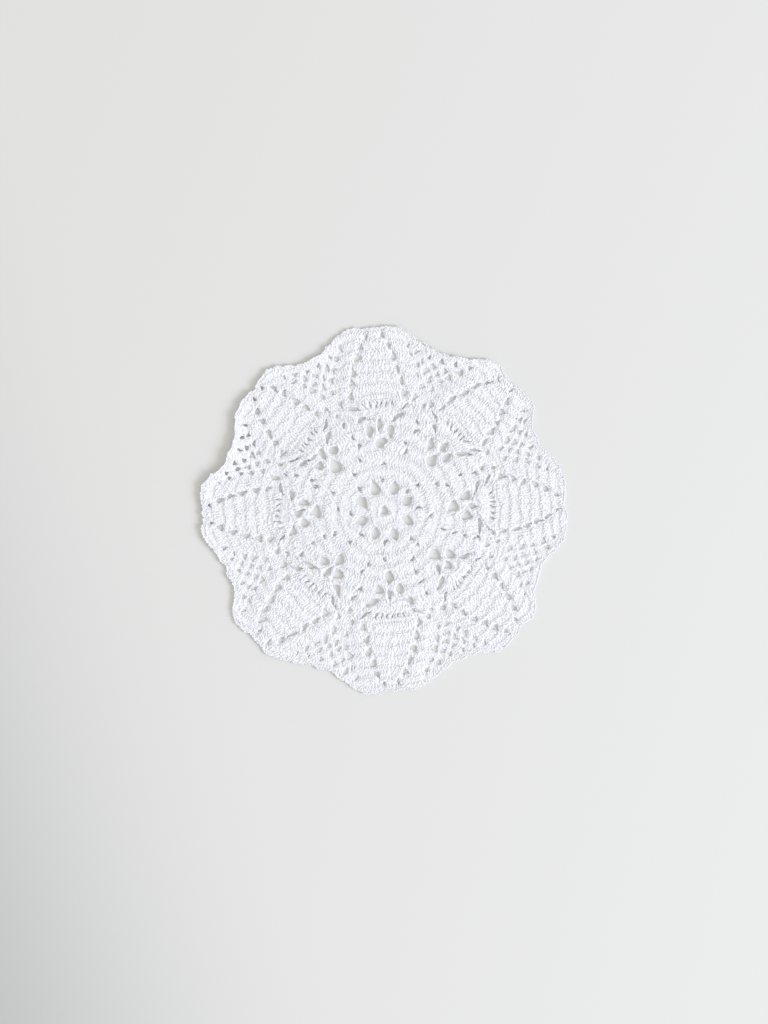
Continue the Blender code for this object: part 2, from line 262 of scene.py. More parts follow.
SMALL_GAPS = (
    Gap(70.2, 2.65, PINEAPPLE, 1.9, 1.2, 0.0, 0.20),
    *NET_ROWS[-1].gaps(),
    Gap(42.9, 1.45, PINEAPPLE, 1.9, 0.8),
    Gap(42.9, 4.35, PINEAPPLE, 1.9, 0.8),
    Gap(42.9, 7.25, PINEAPPLE, 1.8, 0.7),
)
CENTRE_GAP_RADIUS = 1.6

# Foot of the first row of a pineapple's body, and the height of each row.
BODY_START = 46.5
ROW_HEIGHT = 4.4

# Sides of pineapples, as (repeat, side), along which the work is pulled and the gaps are slits.
TIGHT_SIDES = ((1, -1), (2, 1))


def polar(angle: Array | float, radius: Array | float) -> Array:
    """Flat points, with x and y on the last axis, at clockwise angles from +Y in degrees."""
    turned = np.radians(angle)
    return np.stack((radius * np.sin(turned), radius * np.cos(turned)), axis=-1)


def line_angle(repeat: int, line: ChartLine) -> float:
    """Angle of one repeat's chart line."""
    return FIRST_AXIS + REPEAT_ANGLE * (repeat + line.value)


def distance(flat: Array) -> Array:
    """Distance of flat points from the middle."""
    return np.hypot(flat[..., 0], flat[..., 1])


def bearing(flat: Array) -> Array:
    """Clockwise angle of flat points from +Y, in degrees."""
    return np.degrees(np.arctan2(flat[..., 0], flat[..., 1]))


def lengths_along(path: Array) -> Array:
    """Length of a flat path up to each of its points."""
    return np.concatenate(([0.0], np.cumsum(distance(np.diff(path, axis=0)))))


def sides_of(item: Gap | Run | Chain) -> tuple[int, ...]:
    """1 for a thing on the chart, and -1 for its mirrored twin where it has one."""
    return (1, -1) if item.mirrored else (1,)


def body_rows(count: int, last_radius: float) -> Iterator[tuple[int, float, float]]:
    """Lay out the rows of a pineapple's body.

    Args:
        count: Number of rows.
        last_radius: Where the last row is cut off.

    Yields:
        Number, foot radius and head radius of each row.
    """
    for row in range(count):
        foot = BODY_START + ROW_HEIGHT * row
        yield row, foot, min(foot + ROW_HEIGHT, last_radius)


def smoothstep(low: float | Array, high: float | Array, value: Array) -> Array:
    """Rise smoothly from 0 at low to 1 at high."""
    share = np.clip((value - low) / (high - low), 0.0, 1.0)
    return share * share * (3.0 - 2.0 * share)


def curve_through(knots: Array, steps: int) -> Array:
    """Draw a smooth line through knots.

    Args:
        knots: Points on the line, one a row.
        steps: Steps from each knot to the next.

    Returns:
        Points along the line, one a row.
    """
    padded = np.vstack((2 * knots[0] - knots[1], knots, 2 * knots[-1] - knots[-2]))
    rows = []
    for first in range(len(knots) - 1):
        a, b, c, d = padded[first : first + 4]
        for share in np.arange(steps) / steps:
            bend = (2 * a - 5 * b + 4 * c - d) * share**2 + (3 * b - a - 3 * c + d) * share**3
            rows.append(0.5 * (2 * b + (c - a) * share + bend))
    rows.append(knots[-1])
    return np.array(rows)


class EasedLoop:
    """Closed curve through (angle, value) knots, level at each of them."""

    def __init__(self, knots: list[Pair], sharpness: float = 1.0) -> None:
        """Keep the knots in turning order.

        Args:
            knots: Angles in degrees, with the value at each.
            sharpness: Over 1 keeps the curve low for longer beside its low knots.
        """
        ordered = sorted((angle % 360.0, value) for angle, value in knots)
        self.angles = np.array([angle for angle, _ in ordered])
        self.values = np.array([value for _, value in ordered])
        self.sharpness = sharpness

    def at(self, angle: Array | float) -> Array:
        """Read the curve.

        Args:
            angle: Angles in degrees.

        Returns:
            Its value at each angle.
        """
        turned = np.mod(angle, 360.0)
        first = np.searchsorted(self.angles, turned, side="right") - 1
        after = (first + 1) % len(self.angles)
        span = np.mod(self.angles[after] - self.angles[first], 360.0)
        share = np.mod(turned - self.angles[first], 360.0) / span
        low = self.values[first]
        high = self.values[after]
        rising = share**self.sharpness
        falling = 1.0 - (1.0 - share) ** self.sharpness
        share = np.where(high > low, rising, falling)
        return low + (high - low) * (0.5 - 0.5 * np.cos(np.pi * share))


@dataclass
class WorkedShape:
    """The real work's shape: where chart points lie, and how high the sheet is over the table."""

    rosette_radius: float = 12.0
    base_radius: float = 27.5
    rosette_turn: float = 1.7
    valley_sharpness: float = 1.35
    outline_steps: int = 5
    rest_angles: tuple[float, ...] = (112.0, 232.0, 350.0)
    rest_start: float = 28.0
    rest_middle_lift: float = 0.05
    rest_rim_lift: float = 0.05
    middle_clearance: float = 0.02
    hump_peak: float = 4.0 / 27.0
    middle_loft: float = 0.6
    pineapple_loft: float = 0.1
    loft_falls_from: float = 36.0
    loft_falls_to: float = 47.0
    net_start: float = 41.0
    net_widening: float = 0.5
    net_fullness: float = 0.6
    least_net_half: float = 0.01
    net_edge: Pair = (0.7, 1.3)
    firm_rim: Pair = (1.5, 5.0)
    wave_power: float = 5.0
    lobe_share: float = 0.4
    hand_waves: int = 18
    hand_lengths: Pair = (3.5, 14.0)
    hand_stray: float = 0.13
    hand_seed: int = 3

    def __post_init__(self) -> None:
        """Make the curves that the shape is read from."""
        rim, ideal, turns, base_turns, base_scales = [], [], [], [], []
        for repeat, (edge, stray) in enumerate(zip(OUTLINES, STRAYS)):
            axis = line_angle(repeat, PINEAPPLE)
            half_way = line_angle(repeat, NET)
            rim += edge.knots(repeat)
            ideal += IDEAL_OUTLINE.knots(repeat)
            turns += [(axis, stray.tip_turn), (half_way, stray.net_turn)]
            base_turns.append((axis, stray.base_turn))
            base_scales.append((axis, stray.base_scale))
        self.rim = EasedLoop(rim, self.valley_sharpness)
        self.ideal_rim = EasedLoop(ideal, self.valley_sharpness)
        self.rim_turn = EasedLoop(turns)
        self.base_turn = EasedLoop(base_turns)
        self.base_scale = EasedLoop(base_scales)
        points = []
        for (angle_a, _), (angle_b, _) in zip(rim, rim[1:] + rim[:1]):
            span = (angle_b - angle_a) % 360.0
            angles = angle_a + span * np.arange(self.outline_steps) / self.outline_steps
            points.append(polar(angles, self.rim.at(angles)))
        outline = np.vstack(points)
        self.centre = (outline.min(axis=0) + outline.max(axis=0)) / 2
        rng = np.random.default_rng(self.hand_seed)
        numbers = 2.0 * np.pi / rng.uniform(*self.hand_lengths, self.hand_waves)
        self.hand_numbers = polar(rng.uniform(0.0, 360.0, self.hand_waves), numbers)
        self.hand_phases = rng.uniform(0.0, 2.0 * np.pi, self.hand_waves)
        self.hand_moves = polar(rng.uniform(0.0, 360.0, self.hand_waves), self.hand_stray)

    def share_outwards(self, radius: Array, rim: Array, start: float) -> Array:
        """How far out points lie in a wave, from 0 where it begins to 1 at the rim."""
        return np.clip((radius - start) / (rim - start), 0.0, 1.0)

    def lift(self, flat: Array) -> Array:
        """Height of the sheet's underside.

        Args:
            flat: Points of the real work, from the rosette's centre.

        Returns:
            Heights over the table.
        """
        radius = distance(flat)
        angle = bearing(flat)
        rim = self.rim.at(angle)
        low_rise = np.zeros_like(radius)
        for angle_a, angle_b in zip(self.rest_angles, self.rest_angles[1:] + self.rest_angles[:1]):
            share = np.mod(angle - angle_a, 360.0) / ((angle_b - angle_a) % 360.0)
            arch = np.sqrt(np.sin(np.pi * np.clip(share, 0.0, 1.0)))
            low_rise = np.where(share <= 1.0, arch, low_rise)
        share = self.share_outwards(radius, rim, self.rest_start)
        hump = self.rest_middle_lift * share**2 * (1.0 - share) / self.hump_peak
        height = low_rise * (hump + self.rest_rim_lift * share**self.wave_power)
        reached = smoothstep(self.rest_start, rim, radius)
        height += self.middle_clearance * (1.0 - (1.0 - low_rise) * reached)
        for lobe in LOBES:
            away = np.abs(np.mod(angle - lobe.angle + 180.0, 360.0) - 180.0)
            fade = np.where(away < lobe.spread, 0.5 + 0.5 * np.cos(np.pi * away / lobe.spread), 0.0)
            share = self.share_outwards(radius, rim, lobe.start)
            height += fade * (self.lobe_share * lobe.rim_lift * share**self.wave_power)
        return height

    def worked(self, chart: Array) -> Array:
        """Carry chart points to where the real work has them.

        Args:
            chart: Flat points of the ideal chart.

        Returns:
            Flat points of the real work, from the rosette's centre.
        """
        radius = distance(chart)
        angle = bearing(chart)
        ideal_rim = self.ideal_rim.at(angle)
        to_base = smoothstep(self.rosette_radius, self.base_radius, radius)
        to_rim = smoothstep(self.base_radius, ideal_rim, radius)
        rim_turn = self.rim_turn.at(angle)
        base_turn = self.base_turn.at(angle)
        turn = self.rosette_turn + (base_turn - self.rosette_turn) * to_base
        turn += (rim_turn - base_turn) * to_rim
        rim_scale = self.rim.at(angle + rim_turn) / ideal_rim
        base_scale = self.base_scale.at(angle)
        scale = 1.0 + (base_scale - 1.0) * to_base + (rim_scale - base_scale) * to_rim
        flat = polar(angle + turn, radius * scale)
        return flat + np.sin(flat @ self.hand_numbers.T + self.hand_phases) @ self.hand_moves

    def body(self, chart: Array) -> tuple[Array, Array]:
        """How thick the work is: full in the close parts, thin in the net.

        Args:
            chart: Chart points.

        Returns:
            Factor on heights over the underside, and the extra height under the strands.
        """
        radius = distance(chart)
        angle = bearing(chart)
        from_net = np.mod(angle - line_angle(0, NET) + REPEAT_ANGLE / 2, REPEAT_ANGLE) - REPEAT_ANGLE / 2
        net_half = np.maximum((radius - self.net_start) * self.net_widening, self.least_net_half)
        in_work = smoothstep(*self.net_edge, np.abs(from_net) / net_half)
        outwards = smoothstep(self.loft_falls_from, self.loft_falls_to, radius)
        at_rim = 1.0 - smoothstep(*self.firm_rim, self.ideal_rim.at(angle) - radius)
        outer = self.pineapple_loft * in_work * (1.0 - at_rim)
        loft = self.middle_loft * (1.0 - outwards) + outer * outwards
        full = np.maximum(in_work, at_rim) * outwards + 1.0 - outwards
        return self.net_fullness + (1.0 - self.net_fullness) * full, loft

    def place(self, points: Array, stand: Array | float = 1.0, lofted: bool = True) -> Array:
        """Carry chart points with heights over the sheet's underside to their real places.

        Args:
            points: Chart x and y, and height, on the last axis.
            stand: Factor on the full height, which is lower where the work slopes down to a gap.
            lofted: False for points of the underside, which stays on the sheet's.

        Returns:
            Places in the coaster's own frame, in millimetres.
        """
        flat = self.worked(points[..., :2])
        fullness, loft = self.body(points[..., :2])
        height = points[..., 2] * fullness
        if lofted:
            height = (height + loft) * stand
        height = height + self.lift(flat)
        return np.concatenate((flat - self.centre, height[..., None]), axis=-1)


@dataclass
class PlacedGap:
    """A gap in its place on the chart: an oval, tapered and drawn into three soft corners."""

    centre: Array
    along: Array
    across: Array
    half_length: float
    half_width: float
    taper: float = 0.0
    corner: float = 0.0
    corner_turn: float = 0.0
    fullness: float = 2.0
    growth: float = 0.0
    corner_count: float = 3.0

    @property
    def half_size(self) -> float:
        """Half the longer side."""
        return max(self.half_length, self.half_width)

    def swell(self, around: Array) -> Array:
        """Say how far the edge stands out at each angle round the gap.

        Args:
            around: Angles, in radians.

        Returns:
            Factors on the gap's half sizes.
        """
        oval = np.abs(np.cos(around)) ** self.fullness + np.abs(np.sin(around)) ** self.fullness
        corners = self.corner * np.cos(self.corner_count * around - self.corner_turn)
        return oval ** (-1.0 / self.fullness) * (1.0 + corners)

    def beyond(self, flat: Array) -> Array:
        """Distance of chart points outside the edge, roughly, in millimetres."""
        return (self.ratio(flat - self.centre, 0.0) - 1.0) * (self.half_length + self.half_width) / 2

    def ratio(self, away: Array, clearance: float) -> Array:
        """Distance of points from the centre, as a share of the edge's in the same direction.

        Args:
            away: Points, from the gap's centre.
            clearance: How much the gap is grown.

        Returns:
            1 at the edge, less inside.
        """
        lengthwise = away @ self.along
        crosswise = away @ self.across
        narrowing = 1.0 - self.taper * np.clip(lengthwise / self.half_length, -1.0, 1.0)
        first = lengthwise / (self.half_length + clearance)
        second = crosswise / (self.half_width * narrowing + clearance)
        return np.hypot(first, second) / self.swell(np.arctan2(second, first))

    def edge(self, around: Array, growth: float | Array) -> Array:
        """Chart points on the grown edge.

        Args:
            around: Angles round the gap, in radians.
            growth: How much the gap is grown.

        Returns:
            The points, one a row.
        """
        swell = self.swell(around)
        narrowing = 1.0 - self.taper * np.cos(around)
        lengthwise = np.cos(around) * (self.half_length + growth) * swell
        crosswise = np.sin(around) * (self.half_width * narrowing + growth) * swell
        return self.centre + lengthwise[:, None] * self.along + crosswise[:, None] * self.across


@dataclass
class GapChart:
    """Every gap of the ideal chart, and how strands keep clear of it."""

    clearance_per_width: float = 0.1
    clearance_loss: float = 0.1
    reach: float = 2.0
    growth: float = 0.05
    loose_growth: float = 0.0
    net_growth: float = 0.16
    slope_growths: tuple[float, ...] = (0.35, 0.8)
    sides: int = 14
    least_slope: float = 0.8
    slope_per_width: float = 0.1
    slope_reach: float = 1.5
    push_reach: float = 1.2
    least_ratio: float = 0.05
    edge_shares: Pair = (0.22, 0.85)
    edge_widths: Pair = (0.6, 1.8)
    size_jitter: float = 0.1
    turn_jitter: float = 12.0
    loose_place_jitter: float = 0.9
    loose_size_jitter: float = 0.25
    loose_turn_jitter: float = 40.0
    tight_factors: Pair = (1.2, 0.6)
    tight_slant: float = -24.0
    corners: Pair = (0.02, 0.15)
    fullness: Pair = (1.35, 1.9)
    small_width: float = 3.0
    small_share: float = 0.97
    small_corner: float = 0.12
    small_fullness: float = -0.15
    net_from: float = 45.0
    seed: int = 5

    def __post_init__(self) -> None:
        """Lay out the gaps of all repeats."""
        rng = np.random.default_rng(self.seed)
        radius = CENTRE_GAP_RADIUS
        self.rows = [PlacedGap(np.zeros(2), polar(0.0, 1.0), polar(90.0, 1.0), radius, radius)]
        for repeat in range(REPEATS):
            for gap in GAPS + SMALL_GAPS:
                self.rows += [self.laid_out(gap, repeat, side, rng, False) for side in sides_of(gap)]
            self.rows += [self.laid_out(gap, repeat, 1, rng, True) for gap in LOOSE_GAPS]

    def laid_out(self, gap: Gap, repeat: int, side: int, rng: Rng, loose: bool) -> PlacedGap:
        """Lay one gap on the chart, with the small unevenness of hand work.

        Args:
            gap: The gap.
            repeat: Number of the repeat.
            side: -1 for the mirrored twin.
            rng: Source of the hand's unevenness.
            loose: True for a gap that the stitches leave here and there.

        Returns:
            The gap in its place.
        """
        angle = line_angle(repeat, gap.line) + side * gap.angle
        slant = side * gap.slant + rng.normal(0.0, self.loose_turn_jitter if loose else self.turn_jitter)
        grown = 1.0 + rng.normal(0.0, self.loose_size_jitter if loose else self.size_jitter, 2)
        small = gap.width < self.small_width
        if small:
            grown = grown * self.small_share
        if (repeat, side) in TIGHT_SIDES and gap.slant == SIDE_SLANT:
            grown = grown * self.tight_factors
            slant = side * self.tight_slant
        growth = self.loose_growth if loose else self.growth
        if gap.line is NET and self.net_from < gap.radius:
            growth = self.net_growth
        return PlacedGap(
            polar(angle, gap.radius) + (rng.normal(0.0, self.loose_place_jitter, 2) if loose else 0.0),
            polar(angle + slant, 1.0),
            polar(angle + slant + 90.0, 1.0),
            gap.length / 2 * grown[0],
            gap.width / 2 * grown[1],
            gap.taper,
            rng.uniform(*self.corners) + small * self.small_corner,
            rng.uniform(0.0, 2.0 * np.pi),
            rng.uniform(*self.fullness) + small * self.small_fullness,
            growth,
        )

    def clearance(self, gap: PlacedGap) -> float:
        """How far strands keep from a gap's edge: more for the wide gaps."""
        return self.clearance_per_width * gap.half_width - self.clearance_loss

    def near(self, flat: Array, reach: Callable[[PlacedGap], float]) -> Iterator[tuple[PlacedGap, float]]:
        """Find the gaps that come near to points.

        Args:
            flat: Chart points.
            reach: How far a gap reaches from its centre.

        Yields:
            Each such gap, with its reach.
        """
        rows = flat.reshape(-1, 2)
        middle = rows.mean(axis=0)
        spread = distance(rows - middle).max()
        for gap in self.rows:
            far = reach(gap)
            if distance(gap.centre - middle) <= spread + far:
                yield gap, far

    def slope_width(self, gap: PlacedGap) -> float:
        """Width of the slope that goes down to a gap's edge."""
        return self.least_slope + self.slope_per_width * gap.half_width

    def stand(self, flat: Array, edge_factor: float = 1.0) -> Array:
        """How high the work stands on the slopes round the gaps.

        Args:
            flat: Chart points.
            edge_factor: Factor on the height at the edges of the gaps.

        Returns:
            Factor on the full height.
        """
        stand = np.ones(flat.shape[:-1])
        for gap, far in self.near(
            flat, lambda gap: self.slope_reach * gap.half_size + self.slope_width(gap)
        ):
            close = distance(flat - gap.centre) < far
            if close.any():
                share = edge_factor * np.interp(gap.half_width, self.edge_widths, self.edge_shares)
                rising = smoothstep(0.0, self.slope_width(gap), gap.beyond(flat[close]))
                stand[close] = np.minimum(stand[close], share + (1.0 - share) * rising)
        return stand

    def clear(self, flat: Array, reach: float) -> Array:
        """Push chart points out of the gaps, and less and less so further off.

        Args:
            flat: Chart points.
            reach: How far off points still move, in radii of the gap.

        Returns:
            The same points, moved clear of every gap.
        """
        moved = flat.copy()
        for gap, far in self.near(
            flat, lambda gap: reach * (gap.half_size + self.clearance(gap)) * self.push_reach
        ):
            away = moved - gap.centre
            close = distance(away) < far
            if close.any():
                part = away[close]
                ratio = np.maximum(gap.ratio(part, self.clearance(gap)), self.least_ratio)
                pushed = 1.0 + ratio * (reach - 1.0) / reach
                factor = np.where(ratio < reach, pushed / ratio, 1.0)
                moved[close] = gap.centre + part * factor[..., None]
        return moved

    def loops(self, further: float = 0.0) -> list[Array]:
        """Outlines of the openings that the ground leaves at the gaps, grown further by a width."""
        around = 2.0 * np.pi * np.arange(self.sides) / self.sides
        return [gap.edge(around, gap.growth + further) for gap in self.rows]


class Strand(NamedTuple):
    """One visible length of thread in a stitch, bent through three knots.

    Knots are (across in stitch widths, along in stitch heights, height that the relief scales).
    """

    start: Triple
    middle: Triple
    end: Triple


def stroke(start: Pair, end: Pair, low: float, high: float) -> Strand:
    """Short length of thread that comes up, is highest half-way and goes under again."""
    middle = ((start[0] + end[0]) / 2, (start[1] + end[1]) / 2)
    return Strand((*start, low), (*middle, high), (*end, low))


# Strokes of a post: where they start and end in their tier, how far they lean, where the two of a
# tier stand across it, and how much lower their ends are than their middles.
TIER_SHARES = (-0.20, 1.10)
POST_LEAN = 0.13
POST_SIDES = (-0.25, 0.25)
POST_DROP = 0.45


def post(tiers: int, reach: float, high: float) -> tuple[Strand, ...]:
    """Pairs of slanted strokes, one pair over another, that make a stitch's post.

    Args:
        tiers: Number of pairs.
        reach: Height of the post, in stitch heights.
        high: Height of the strokes over the underside.

    Returns:
        The strands.
    """
    strands = []
    for tier in range(tiers):
        bottom, top = (reach * (tier + share) / tiers for share in TIER_SHARES)
        lean = POST_LEAN if tier % 2 else -POST_LEAN
        for side in POST_SIDES:
            strands.append(stroke((side - lean, bottom), (side + lean, top), high - POST_DROP, high))
            lean = -lean if tier % 3 == 1 else lean
    return tuple(strands)


BRAID = (
    stroke((-0.46, 1.08), (0.02, 0.88), 0.65, 1.22),
    stroke((0.00, 1.14), (0.50, 0.95), 0.60, 1.12),
)
STITCHES: dict[StitchKind, tuple[Strand, ...]] = {
    StitchKind.TREBLE: (
        *post(4, 0.94, 0.98),
        stroke((-0.34, 0.36), (0.34, 0.60), 0.6, 1.18),
        *BRAID,
    ),
    StitchKind.SHORT: (*post(2, 0.9, 0.98), *BRAID),
    StitchKind.EDGE: (
        stroke((-0.32, -0.05), (-0.18, 0.66), 0.45, 0.95),
        stroke((0.16, -0.05), (0.30, 0.66), 0.45, 0.95),
        stroke((-0.56, 0.50), (0.10, 0.68), 0.5, 1.1),
        stroke((-0.06, 0.50), (0.60, 0.66), 0.5, 1.05),
        Strand((-0.46, 0.76, 0.45), (-0.26, 1.16, 0.90), (0.02, 0.80, 0.55)),
        Strand((0.02, 0.80, 0.45), (0.24, 1.16, 0.90), (0.50, 0.78, 0.55)),
        Strand((-0.60, 0.80, 0.0), (-0.24, 1.02, 0.15), (0.10, 0.82, 0.0)),
        Strand((-0.06, 0.82, 0.0), (0.26, 1.04, 0.15), (0.60, 0.80, 0.0)),
    ),
    StitchKind.CHAIN: (
        stroke((-0.42, 0.95), (-0.02, -0.05), 0.45, 0.95),
        stroke((0.44, 1.0), (0.04, 0.05), 0.45, 0.95),
        stroke((-0.30, 0.20), (-0.20, 1.20), 0.35, 0.70),
    ),
    StitchKind.KNOT: (
        stroke((-0.50, 0.20), (0.45, 0.62), 0.40, 1.20),
        stroke((-0.35, 0.85), (0.40, -0.10), 0.45, 1.10),
        stroke((-0.10, -0.20), (-0.22, 0.95), 0.45, 0.95),
    ),
}


@dataclass
class Patches:
    """Places of stitches on the chart: foot and head of each, and the width vector at both."""

    foot: Array
    head: Array
    foot_side: Array
    head_side: Array

    @classmethod
    def of_run(cls, run: Run, repeat: int, side: int) -> "Patches":
        """Lay out one run of stitches in one repeat.

        Args:
            run: The run on the chart.
            repeat: Number of the repeat.
            side: -1 for the mirrored twin.

        Returns:
            The places of its stitches.
        """
        middle = line_angle(repeat, run.line)
        share = (np.arange(run.count) + 0.5) / run.count
        half = 0.5 / run.count

        def row(edge: Triple, bow: float, at: Array) -> Array:
            """Points of one edge line of the run."""
            angle = middle + side * (edge[0] + (edge[1] - edge[0]) * at)
            return polar(angle, edge[2] + bow * (1.0 - (2.0 * at - 1.0) ** 2))

        foot = row(run.foot, run.foot_bow, share)
        head = row(run.head, 0.0, share)
        foot_side = row(run.foot, run.foot_bow, share + half) - row(run.foot, run.foot_bow, share - half)
        head_side = row(run.head, 0.0, share + half) - row(run.head, 0.0, share - half)
        return cls(foot, head, foot_side, head_side)

    @classmethod
    def of_path(cls, path: Array, links: int, width: float) -> "Patches":
        """Lay links end to end along a flat path.

        Args:
            path: Chart points of the path.
            links: Number of links.
            width: Width of a link.

        Returns:
            The places of the links.
        """
        reached = lengths_along(path)
        marks = np.linspace(0.0, reached[-1], links + 1)
        points = np.stack([np.interp(marks, reached, places) for places in path.T], axis=-1)
        ahead = np.diff(points, axis=0)
        ahead /= distance(ahead)[:, None]
        side = np.stack((ahead[:, 1], -ahead[:, 0]), axis=-1) * width
        return cls(points[:-1], points[1:], side, side)


@dataclass
class Thread:
    """The cotton thread and the hand that lays it."""

    shape: WorkedShape
    gaps: GapChart
    radius: float = 0.29
    sides: int = 5
    steps: int = 2
    end_share: float = 0.5
    base_height: float = 0.3
    relief: float = 0.52
    place_jitter: float = 0.08
    strand_jitter: float = 0.055
    height_jitter: float = 0.07
    rib_height: float = 0.15
    radius_jitter: float = 0.05
    loose_jitter: float = 0.08
    least_height: float = 0.33
    uv_scale: float = 0.1
    laid: list[Array] = field(default_factory=list)

    def lines(self, patches: Patches, kind: StitchKind, rng: Rng) -> list[Array]:
        """Draw the strands of stitches on the chart.

        Args:
            patches: Places of the stitches.
            kind: Stitch that is worked at each.
            rng: Source of the hand's unevenness.

        Returns:
            For each strand of the stitch, the lines of all the stitches.
        """
        count = len(patches.foot)
        foot = patches.foot + rng.normal(0.0, self.place_jitter, (count, 2))
        head = patches.head + rng.normal(0.0, self.place_jitter, (count, 2))
        lines = []
        for strand in STITCHES[kind]:
            knots = curve_through(np.array(strand), self.steps)
            share = np.linspace(0.0, 1.0, len(knots))[None, :, None]
            strays = rng.normal(0.0, self.strand_jitter, (2, count, 1, 2))
            stray = strays[0] * (1.0 - share) + strays[1] * share
            across = knots[None, :, 0, None] + stray[..., :1]
            along = knots[None, :, 1, None] + stray[..., 1:]
            side = patches.foot_side[:, None] * (1.0 - along) + patches.head_side[:, None] * along
            flat = foot[:, None] * (1.0 - along) + head[:, None] * along + across * side
            height = self.base_height + self.relief * knots[None, :, 2]
            height = height + rng.normal(0.0, self.height_jitter, (count, 1))
            height += self.rib_height * np.cos(2.0 * np.pi * along[..., 0])
            lines.append(np.concatenate((flat, height[..., None]), axis=-1))
        return lines

    def spin(
        self, name: str, lines: list[Array], rng: Rng, reach: float | None = None
    ) -> Piece:
        """Sweep thread along chart lines into one mesh piece.

        Args:
            name: Name of the piece.
            lines: Chart x, y and height along strands, several strands to an array.
            rng: Source of the thread's small changes in thickness.
            reach: How far from the gaps the lines are moved, in radii of the gap, if not as stitches are.

        Returns:
            The thread piece, linked to the scene.
        """
        verts, faces, uvs = [], [], []
        offset = 0
        for batch in lines:
            centre = batch.copy()
            centre[..., :2] = self.gaps.clear(batch[..., :2], reach or self.gaps.reach)
            centre[..., :2] += rng.normal(0.0, self.loose_jitter, (len(batch), 1, 2))
            self.laid.append(centre[..., :2].reshape(-1, 2))
            placed = self.shape.place(centre, self.gaps.stand(centre[..., :2]))
            placed[..., 2] = np.maximum(placed[..., 2], self.least_height)
            points, quads, caps, quad_uv, cap_uv = self.sweep(placed, rng)
            verts.append(points)
            faces.append((quads + offset, caps + offset))
            uvs.append((quad_uv, cap_uv))
            offset += len(points)
        all_quads = np.concatenate([quads for quads, _ in faces])
        all_caps = np.concatenate([caps for _, caps in faces])
        corners = np.concatenate((all_quads.ravel(), all_caps.ravel()))
        sizes = np.concatenate((np.full(len(all_quads), 4), np.full(len(all_caps), self.sides)))
        uv = np.concatenate([a.reshape(-1, 2) for a, _ in uvs] + [b.reshape(-1, 2) for _, b in uvs])
        return mesh_object(name, np.concatenate(verts) * MM, corners, sizes, uv)

    def sweep(
        self, centre: Array, rng: Rng
    ) -> tuple[Array, Array, Array, Array, Array]:
        """Wrap a closed tube round each line.

        Args:
            centre: Places along the lines, in millimetres.
            rng: Source of the thread's small changes in thickness.

        Returns:
            Points, side faces, end faces, and the texture places of both.
        """
        count, length, _ = centre.shape
        tangent = np.gradient(centre, axis=1)
        tangent /= np.linalg.norm(tangent, axis=-1, keepdims=True)
        normal = np.zeros_like(centre)
        start = np.tile(np.array([0.0, 0.0, 1.0]), (count, 1))
        for step in range(length):
            along = tangent[:, step]
            start = start - (start * along).sum(axis=-1, keepdims=True) * along
            start /= np.linalg.norm(start, axis=-1, keepdims=True) + TINY
            normal[:, step] = start
        binormal = np.cross(tangent, normal)
        profile = np.ones(length)
        profile[[0, -1]] = self.end_share
        thick = self.radius * (1.0 + rng.normal(0.0, self.radius_jitter, (count, 1))) * profile[None]
        turn = 2.0 * np.pi * np.arange(self.sides) / self.sides
        ring = np.cos(turn)[:, None] * normal[:, :, None] + np.sin(turn)[:, None] * binormal[:, :, None]
        points = centre[:, :, None] + ring * thick[:, :, None, None]

        index = np.arange(count * length * self.sides).reshape(count, length, self.sides)
        after = np.roll(index, -1, axis=2)
        quads = np.stack((index[:, :-1], after[:, :-1], after[:, 1:], index[:, 1:]), axis=-1)
        caps = np.concatenate((index[:, 0, ::-1], index[:, -1]))
        reached = np.cumsum(np.linalg.norm(np.diff(centre, axis=1), axis=-1), axis=1)
        reached = np.concatenate((np.zeros((count, 1)), reached), axis=1) * self.uv_scale
        reached += rng.uniform(0.0, 1.0, (count, 1))
        around = np.arange(self.sides + 1) / self.sides
        uv = np.stack(np.broadcast_arrays(reached[:, :, None], around), axis=-1)
        quad_uv = np.stack((uv[:, :-1, :-1], uv[:, :-1, 1:], uv[:, 1:, 1:], uv[:, 1:, :-1]), axis=3)
        cap_uv = np.zeros((len(caps), self.sides, 2))
        cap_uv[..., 0] = np.concatenate((reached[:, 0], reached[:, -1]))[:, None]
        return points.reshape(-1, 3), quads.reshape(-1, 4), caps, quad_uv.reshape(-1, 4, 2), cap_uv


def mesh_object(
    name: str, points: Array, corners: Array, sizes: Array, uv: Array | None = None
) -> Piece:
    """Make a smooth-shaded object from arrays.

    Args:
        name: Name of the object.
        points: Places in metres.
        corners: Point numbers of all the faces, one face after another.
        sizes: Number of corners of each face.
        uv: Texture place of each corner.

    Returns:
        The object, linked to the scene.
    """
    data = bpy.data.meshes.new(name)
    data.vertices.add(len(points))
    data.vertices.foreach_set("co", np.ascontiguousarray(points, dtype=np.float32).ravel())
    data.loops.add(len(corners))
    data.loops.foreach_set("vertex_index", corners.astype(np.int32))
    data.polygons.add(len(sizes))
    starts = np.concatenate(([0], np.cumsum(sizes)[:-1]))
    data.polygons.foreach_set("loop_start", starts.astype(np.int32))
    if uv is not None:
        layer = data.uv_layers.new(name="thread")
        layer.data.foreach_set("uv", uv.astype(np.float32).ravel())
    data.update(calc_edges=True)
    data.validate()
    data.shade_smooth()
    item = bpy.data.objects.new(name, data)
    bpy.context.collection.objects.link(item)
    return item


